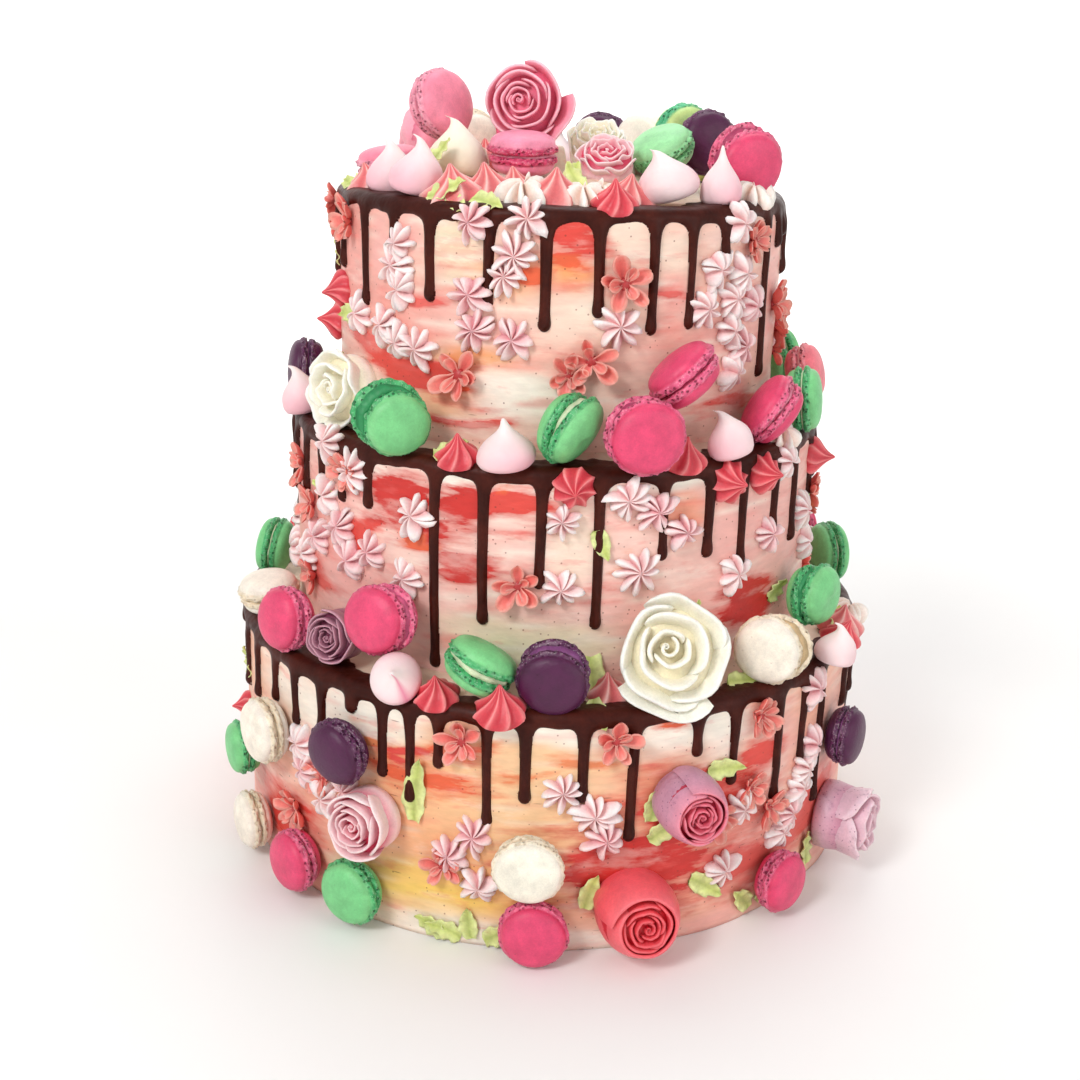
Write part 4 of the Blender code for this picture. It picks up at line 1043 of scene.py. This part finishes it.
# Piped stars, flowers and leaves

# Share of the reach and of the height, from the foot up
STAR = ((0.90, -0.20), (1.0, 0.08), (1.0, 0.34), (0.88, 0.62), (0.70, 0.82), (0.48, 0.96), (0.26, 1.0),
        (0.10, 0.88))
ONION = ((0.84, -0.14), (0.98, 0.0), (1.0, 0.10), (0.95, 0.20), (0.82, 0.31), (0.63, 0.42), (0.44, 0.54),
         (0.29, 0.66), (0.17, 0.79), (0.07, 0.94))
# How far in the valleys between a star's ridges reach, how deep they cut, and how far it winds
VALLEY, GROOVE, TWIST = 0.54, 0.80, 0.3


def add_star(shape, spot, normal, across, height, lobes, seed, tones):
    """A dropped star: fat rounded ridges of uneven length run out from the middle."""
    rng = np.random.default_rng(seed)
    turns = around(lobes * 6)
    ridge = 0.5 + 0.5 * np.cos(lobes * turns)
    lobe = np.round(turns / TAU * lobes).astype(int) % lobes
    size = (1.0 + 0.15 * np.clip(rng.normal(size=lobes), -1.6, 1.0))[lobe]
    turns = turns + (0.20 * rng.normal(size=lobes))[lobe] * ridge + rng.uniform(0.0, TAU)
    raised = (1.0 + 0.22 * rng.normal(size=lobes))[lobe]
    reach = across / 2.0 * (VALLEY + (size - VALLEY) * ridge ** 0.75)
    painted_shade, body, tip = tones
    rows, colours = [], []
    for share, level in STAR:
        lift = height * level
        if level > 0:
            cut = GROOVE * min(1.0, share / 0.40)
            lift = lift * (1.0 - cut * (1.0 - ridge ** 0.8)) * (1.0 + (raised - 1.0) * share * ridge)
        rows.append(turned_ring(reach * share, lift, turns + TWIST * share))
        # Painted shade in the valleys between the ridges, and a painted highlight along the ridges, growing
        # outward
        glow = np.clip(ridge ** 1.1 * (0.15 + 1.0 * share) * (level > 0), 0.0, 1.0)
        colours.append(blend(blend(painted_shade, body, ridge ** 0.55), tip, 0.92 * glow))
    shape.sheet(np.array(rows), np.array(colours), (axes_along(normal), spot), high=height * 0.80 * UP)


def add_bud(shape, spot, normal, across, height, seed, tones, ridges=8):
    """A closed star: sharp ridges wind up from a round foot to a point."""
    rng = np.random.default_rng(seed)
    turns = around(ridges * 6)
    start = rng.uniform(0.0, TAU)
    fold = np.abs(np.sin(ridges * turns / 2.0))
    lean = rng.normal(size=2) * 0.05 * across
    painted_shade, body, tip = tones
    rows = []
    for share, level in ONION:
        reach = across / 2.0 * share * (1.0 - 0.30 * fold * smooth(-0.2, 0.2, level))
        ring = turned_ring(reach, height * level, turns + start + 0.55 * level)
        ring[:, :2] += lean * max(0.0, level) ** 2
        rows.append(ring)
    # Painted shade in the grooves and a painted highlight on the ridges
    colours = blend(blend(body, painted_shade, 0.8 * fold), tip, (1.0 - fold) ** 3 * 0.9)
    shape.sheet(np.array(rows), colours, (axes_along(normal, (1.0, 0.0, 0.2)), spot),
                high=rows[-1].mean(0) + 0.05 * height * UP)


def skin(top, thick, above, below):
    """A thin sheet as one closed skin, across its top and back underneath, and its colours."""
    under = top - thick[..., None] * UP
    return np.concatenate([top[:, ::-1], under], 1), np.concatenate([above[:, ::-1], below], 1)


def add_blossom(shape, spot, normal, across, seed, tones, petals, rise=0.20, inner=3):
    """A flower of separate thin petals, cupped like spoons, with lit edges that curl up. The last
    few stand above the rest."""
    rng = np.random.default_rng(seed)
    pose = (axes_along(normal, (0.2, 0.1, 1.0)), spot)
    painted_shade, body, tip = tones
    # s runs along a petal and w across it
    s = np.sin(np.linspace(0.0, math.pi / 2, 8))[:, None]
    w = np.linspace(-1.0, 1.0, 5)[None, :]
    end = np.sqrt(np.clip(1.0 - ((s - 0.62) / 0.385) ** 2, 0.0, 1.0))
    spoon = np.where(s < 0.62, 0.34 + 0.66 * smooth(0.0, 0.62, s), end)
    edge = np.clip(np.abs(w) ** 3 + 0.9 * s ** 7, 0.0, 1.0)
    # Painted shade toward the middle of the flower and a painted highlight on the curled edges
    tone = blend(blend(painted_shade, body, np.clip(0.15 + 1.3 * s + 0.3 * w ** 2, 0.0, 1.0)), tip, 0.80 * edge)
    thick = 0.8 + 0.9 * (1.0 - s) * (1.0 - 0.5 * np.abs(w))
    start = rng.uniform(0.0, TAU)
    for number in range(petals + inner):
        above = number >= petals
        turn = start + TAU * (number + rng.uniform(-0.2, 0.2)) / (inner if above else petals)
        long = across / 2.0 * rng.uniform(0.80, 1.06) * (0.62 if above else 1.0)
        half = long * rng.uniform(0.24, 0.33) * (1.25 if above else 1.0) * spoon
        up = rise * rng.uniform(0.7, 1.3) + (0.26 if above else 0.0)
        x = long * (0.06 + 0.94 * s)
        y = half * w
        z = 1.0 + long * (up * s + 0.55 * np.clip(s - 0.70, 0.0, 1.0)) + 0.80 * half * np.abs(w) ** 2.0
        z = z + 0.04 * long * np.sin(5.0 * s + 2.0 * w + rng.uniform(0.0, TAU))
        cos, sin = math.cos(turn), math.sin(turn)
        top = np.stack([x * cos - y * sin, x * sin + y * cos, z], -1)
        shape.sheet(*skin(top, thick, tone, np.broadcast_to(body, tone.shape)), pose)
    # The knob in the middle is all painted shade
    knob = np.array([turned_ring(0.12 * across * r, 0.16 * across * h, around(10)) for r, h in
                     ((1.0, -0.2), (1.0, 0.2), (0.8, 0.5))])
    shape.sheet(knob, painted_shade, pose, high=0.09 * across * UP)


def tones(*texts):
    """The colours of a flower: painted shade in its hollows, its body, and a painted highlight at its tips.
    """
    return [linear(text) for text in texts]


PALE, ROSY = tones("E8A0A2", "F7D0CE", "FFF8F6"), tones("DE8890", "F4BCC0", "FDE8E6")
CREAM, RED = tones("EBC4B4", "F8E2D4", "FFFAF2"), tones("C8303E", "E94E5A", "F99494")
CORAL, LIGHT_CORAL = tones("B8383A", "EC7068", "FAB9A8"), tones("D65C60", "F48E8C", "FDCFC6")

# Azimuth, height over the base and width of each on the walls
WALL_STARS = {
    "top": {
        "pale": [(-40, 341, 17), (-41, 330, 19), (-39, 319, 19), (-56, 302, 20), (-45, 300, 20),
                 (-40, 293, 19), (-34, 291, 20), (-20, 355, 19), (-7, 357, 19), (-10, 340, 21),
                 (-20, 321, 20), (-19, 304, 21), (-10, 301, 20), (14, 308, 21), (39, 333, 20),
                 (48, 329, 20), (36, 314, 20), (45, 317, 19), (53, 312, 19), (45, 302, 20),
                 (50, 293, 20), (47, 280, 19), (46, 354, 19), (-12, 330, 17)],
        "red": [(-69, 310, 21), (-81, 289, 21)],
        "coral": [(-63, 347, 26), (-23, 281, 28), (15, 328, 26), (8, 291, 25), (53, 345, 22), (71, 308, 25),
                  (81, 293, 24), (3, 284, 21)],
    },
    "middle": {
        "pale": [(-27, 215, 21), (14, 230, 20), (20, 223, 20), (26, 211, 19), (2, 219, 17), (17, 193, 20),
                 (49, 199, 18), (65, 202, 19), (39, 184, 19), (2, 185, 20), (-51, 241, 20), (-43, 230, 21),
                 (-47, 198, 20), (-44, 182, 20), (-29, 181, 19), (54, 236, 19), (-56, 186, 19),
                 (-63, 172, 20), (-38, 190, 17), (-52, 212, 19), (70, 180, 19)],
        "red": [(4, 236, 23), (36, 233, 23), (46, 233, 23), (73, 227, 22)],
        "coral": [(-6, 185, 24), (-66, 218, 23), (-61, 200, 23), (-61, 160, 22), (-45, 228, 22),
                  (74, 205, 22)],
    },
    "bottom": {
        "pale": [(3, 92, 20), (8, 79, 22), (10, 65, 22), (-11, 64, 22), (-15, 52, 19), (-10, 36, 19),
                 (31, 36, 20), (34, 69, 20), (49, 64, 21), (46, 54, 20), (44, 44, 18), (-45, 87, 21),
                 (-44, 73, 20), (-39, 62, 20), (51, 120, 19), (-36, 84, 18), (52, 86, 20), (50, 75, 20),
                 (-34, 72, 18)],
        "red": [(-74, 70, 17)],
        "coral": [(-13, 115, 24), (11, 118, 25), (37, 118, 25), (29, 67, 23), (-48, 44, 24), (-16, 44, 24),
                  (-40, 72, 22), (41, 62, 21), (36, 78, 20)],
    },
}
# Azimuth, distance from the middle and width of each on the ledges
LEDGE_STARS = {
    "top": {
        "red": [(13, 112, 24)],
        "coral": [(-30, 102, 27), (-22, 92, 29), (-15, 84, 25), (-2, 96, 27), (-68, 106, 21), (20, 92, 24),
                  (100, 40, 24), (-150, 52, 24), (36, 62, 22), (-100, 56, 22)],
        "pale": [(-10, 101, 25), (58, 112, 20), (6, 101, 22), (66, 108, 20), (13, 88, 20), (2, 78, 22),
                 (-120, 36, 20), (62, 52, 18), (150, 58, 20)],
    },
    "middle": {"red": [(-19, 141, 23), (26, 143, 23)], "coral": [], "pale": [(55, 142, 18)]},
    "bottom": {"red": [(-18, 172, 24), (-7, 180, 26), (64, 176, 23)],
               "coral": [(11, 156, 18), (70, 172, 22)], "pale": [(76, 174, 20)]},
}
# Up to this azimuth a flower of the front is repeated behind
REPEATED = 88.0
# No flower goes further left than this, where the solids end
LEFT_LIMIT = -175.5
WALL_STAND, LEDGE_STAND = 0.4, 1.2
# The far wall's loose clusters: their kinds, how many, and what parts two flowers, in degrees at a
# radius of 1
CLUSTER_KINDS, CLUSTERS, APART = ("pale", "coral", "pale", "pale", "red", "coral"), 12, 1050.0
flowers = {"pale": Shape(), "red": Shape(), "coral": Shape()}
rng = np.random.default_rng(57)


def clear(spot, reach):
    """Whether a flower there keeps off the toppings, and inside the solids' reach to the left."""
    return spot[0] > LEFT_LIMIT and all(
        np.linalg.norm(spot - middle) > 0.8 * max(radius, half) + reach for middle, radius, half in placed)


def add_flower(kind, spot, normal, across):
    seed = int(rng.integers(1 << 30))
    across *= rng.uniform(0.95, 1.06)
    lying = normal[2] > 0.5
    shape = flowers[kind]
    if kind == "pale":
        colours = CREAM if lying else PALE if rng.uniform() < 0.7 else ROSY
        lobes = 8 + int(rng.integers(2))
        add_star(shape, spot, normal, 1.12 * across, 0.46 * across if lying else 6.2, lobes, seed, colours)
    elif kind == "coral":
        petals = 5 + int(rng.integers(2))
        if lying:
            add_bud(shape, spot, normal, 1.32 * across, 0.64 * across, seed, LIGHT_CORAL, petals + 1)
        else:
            add_blossom(shape, spot, normal, 1.08 * across, seed, CORAL, petals)
    else:
        add_bud(shape, spot, normal, across, 0.60 * across, seed, RED)


def add_to_wall(tier, kind, azimuth, height, across):
    """A flower on the wall in front, and one like it on the far wall."""
    stand = tier.radius + WALL_STAND
    lift = rng.uniform(-6.0, 8.0)
    add_flower(kind, place(azimuth, stand, height), facing(azimuth + rng.uniform(-5.0, 5.0), lift), across)
    far = azimuth + 180.0 + rng.uniform(-4.0, 4.0)
    spot = place(far, stand, height + rng.uniform(-4.0, 4.0))
    if abs(azimuth) < REPEATED and clear(spot, across / 2.0):
        add_flower(kind, spot, facing(far, lift), across)


def add_to_ledge(tier, kind, azimuth, distance, across):
    for turn in (azimuth, azimuth + 184.0):
        spot = place(turn, distance, tier.rim + LEDGE_STAND)
        if tier is TOP:
            spot[2] += top_height(spot[0], spot[1])
        if turn == azimuth and distance > BED_RADIUS or clear(spot, across / 2.0 - 3.0):
            add_flower(kind, spot, facing(turn, 78.0), across)


def add_cluster(tier, number):
    turn, height = 80.0 + 17.0 * number + rng.uniform(-6.0, 6.0), rng.uniform(0.15, 0.80)
    kind = CLUSTER_KINDS[rng.integers(len(CLUSTER_KINDS))]
    for _ in range(1 if kind == "red" else 2):
        spot = place(turn, tier.radius + WALL_STAND, tier.foot + height * (tier.rim - tier.foot))
        if clear(spot, 10.0):
            add_flower(kind, spot, facing(turn, 0.0), 20.0)
        turn += APART / tier.radius * rng.uniform(0.8, 1.2)
        height += rng.uniform(-0.14, 0.14)


for tier in TIERS:
    for table, add in ((WALL_STARS, add_to_wall), (LEDGE_STARS, add_to_ledge)):
        for kind, spots in table[tier.name].items():
            for spot in spots:
                add(tier, kind, *spot)
    for number in range(CLUSTERS):
        add_cluster(tier, number)
for kind, shape in flowers.items():
    piece = shape.make(f"piped_{kind}_stars", [BUTTERCREAM])
    dress(piece, "icing", "tier_top", "tier_middle", "tier_bottom")

# Azimuth, distance, height, then the way it points: turn from straight up, clockwise, and its
# length and width
WALL_LEAVES = [
    (-21, 178, 66, 8, 30, 11), (17, 178, 62, 60, 18, 10), (17, 178, 72, 10, 15, 9),
    (27, 178, 96, 100, 17, 10), (7, 178, 25, 20, 17, 9), (25, 178, 34, 120, 18, 10),
    (38, 178, 4, -40, 16, 10), (40, 178, 6, 50, 14, 9), (55, 178, 8, -10, 20, 9),
    (-13, 178, 3, -70, 16, 10), (-11, 178, 4, -10, 15, 9), (-9, 178, 3, 60, 15, 10),
    (-16, 178, 3, -60, 14, 9), (-70, 178, 92, -30, 15, 9), (-50, 146, 212, -80, 15, 9),
    (8, 146, 214, 150, 13, 8), (28, 146, 156, 20, 15, 9), (52, 146, 160, 60, 14, 9),
    (-60, 120, 300, -100, 15, 9), (-78, 120, 318, 0, 13, 8), (-72, 120, 262, 30, 14, 8),
    (70, 146, 190, 0, 14, 8),
]
LEDGE_LEAVES = [
    (-66, 112, 361.5, -90, 18, 10), (-54, 98, 361.5, -60, 15, 9), (-34, 114, 361.5, 60, 17, 10),
    (-22, 113, 361.5, 110, 16, 9), (-43, 97, 374.0, 10, 14, 8), (-28, 112, 361.5, 140, 13, 8),
    (7, 92, 366.0, -20, 14, 8), (64, 110, 361.5, 60, 17, 10), (3, 84, 366.0, 10, 13, 8),
    (-46, 136, 243.5, 0, 16, 9), (-24, 142, 243.5, 60, 15, 9), (-40, 128, 243.5, 20, 18, 9),
    (58, 130, 243.5, 30, 15, 9), (9, 158, 131.5, 0, 24, 11), (8, 164, 131.5, 170, 15, 9),
    (27, 152, 131.5, 0, 15, 9), (66, 172, 131.5, 60, 18, 10), (33, 166, 131.5, 100, 14, 8),
]
CURL = 0.25
leaves = Shape()


def blade(long, wide, phase):
    """Points of a thin frilled leaf with a groove down its middle, lifting off at its end, with
    its colours and where its vein is."""
    # s runs along the blade and w across it
    s = np.linspace(0.0, 1.0, 14)[:, None]
    w = np.linspace(-1.0, 1.0, 9)[None, :]
    half = wide / 2.0 * np.sin(math.pi * np.clip(s * 0.93 + 0.07, 0.0, 1.0) ** 0.75) ** 0.8
    y = half * w + 0.06 * long * np.sin(2.4 * s + phase[0]) * (s > 0)
    frill = 0.11 * wide * np.sin(TAU * 3.2 * s + phase[1] + 0.7 * np.sign(w)) * np.abs(w) ** 1.6
    z = CURL * long * s ** 1.7 + 0.20 * half * np.abs(w) ** 1.3 + frill + 0.9
    tone = np.clip(0.3 + 0.8 * np.abs(w) ** 2 + 0.2 * np.sin(5 * s), 0.0, 1.0)
    tone = blend(linear("BFCB6A"), linear("DFE6A0"), tone)
    thick = 0.9 * (1.0 - 0.6 * np.abs(w)) * (1.0 - 0.5 * s) + 0.25
    points, colours = skin(np.stack([np.broadcast_to(long * s, y.shape), y, z], -1), thick, tone, tone)
    vein = np.exp(-(w / 0.22) ** 2) * (1.0 - 0.5 * s)
    return points, colours, np.tile(vein, 2)


def add_leaf(azimuth, distance, height, turn, long, wide, on_wall):
    phase = np.random.default_rng(int(rng.integers(1 << 30))).uniform(0.0, TAU, 3)
    turn, out = math.radians(turn), outward(azimuth)
    toward = (UP if on_wall else -out) * math.cos(turn) + outward(azimuth + 90.0) * math.sin(turn)
    normal = out if on_wall else UP + 0.9 * out
    points, colours, vein = blade(1.22 * long, 1.15 * wide, phase)
    spot = place(azimuth, distance, height + (0.0 if on_wall else 2.0))
    laid = points @ axes_along(normal + 0.15 * toward, toward) + spot
    laid[..., 2] = np.maximum(laid[..., 2], 0.2 + 0.15 * np.abs(points[..., 1]))
    leaves.sheet(laid, colours, mask=vein)


for table, on_wall in ((WALL_LEAVES, True), (LEDGE_LEAVES, False)):
    for azimuth, *rest in table:
        add_leaf(azimuth, *rest, on_wall)
        add_leaf(azimuth + 180, *rest, on_wall)
dress(leaves.make("piped_leaves", [LEAF]), "icing")

# Stage, light and camera

# The pale floor lies a little below the cake, in millimetres, and rises all round in one sweep
FLOOR_DROP = 0.2
FLAT, BEND, WALL_TOP = 2.2, 0.9, 2.4
profile = [(0.02, 0.0), (0.5, 0.0), (1.0, 0.0), (FLAT, 0.0)]
profile += [(FLAT + BEND * math.sin(turn), BEND - BEND * math.cos(turn))
            for turn in np.linspace(0.1, math.pi / 2, 12)]
profile += [(FLAT + BEND, 1.6), (FLAT + BEND, WALL_TOP)]
rings = np.array([turned_ring(r / MM, z / MM - FLOOR_DROP, around(96)) for r, z in profile])
room = Shape()
room.sheet(rings[:, ::-1], linear("F4F3F1"), low=-FLOOR_DROP * UP)
room.make("floor", [floor_finish()])

scene = bpy.context.scene
scene.view_settings.view_transform = "Standard"
world = bpy.data.worlds.new("pale_room")
world.use_nodes = True
background = world.node_tree.nodes["Background"]
background.inputs["Color"].default_value = (0.96, 0.97, 1.0, 1.0)
background.inputs["Strength"].default_value = 0.56
scene.world = world


def add_light(name, spot, power, size, aim=(0.0, 0.0, 0.2)):
    data = bpy.data.lights.new(name, "AREA")
    data.energy = power
    data.size = size
    light = bpy.data.objects.new(name, data)
    light.location = spot
    light.rotation_euler = (Vector(aim) - Vector(spot)).to_track_quat("-Z", "Y").to_euler()
    scene.collection.objects.link(light)


add_light("key", (-0.75, -1.25, 1.25), 15.0, 0.45)
add_light("fill", (1.2, -1.0, 0.7), 5.0, 0.9)
add_light("crown", (0.1, 0.5, 1.5), 6.5, 0.8)
add_light("backdrop", (0.0, 1.2, 1.9), 55.0, 1.6, (0.0, 3.1, 0.9))

# The camera, recovered from the rims of the tiers in the photo
PITCH, YAW, ROLL = math.radians(19.06), math.radians(0.481), math.radians(1.496)
EYE, LENS, SENSOR = (0.0, -0.7767, 0.4270), 46.33, 36.0
camera_data = bpy.data.cameras.new("camera")
camera_data.lens = LENS
camera_data.sensor_width = SENSOR
camera = bpy.data.objects.new("camera", camera_data)
tilt = Matrix.Rotation(math.pi / 2 - PITCH, 4, "X") @ Matrix.Rotation(ROLL, 4, "Z")
camera.matrix_world = Matrix.Translation(EYE) @ Matrix.Rotation(YAW, 4, "Z") @ tilt
scene.collection.objects.link(camera)
scene.camera = camera
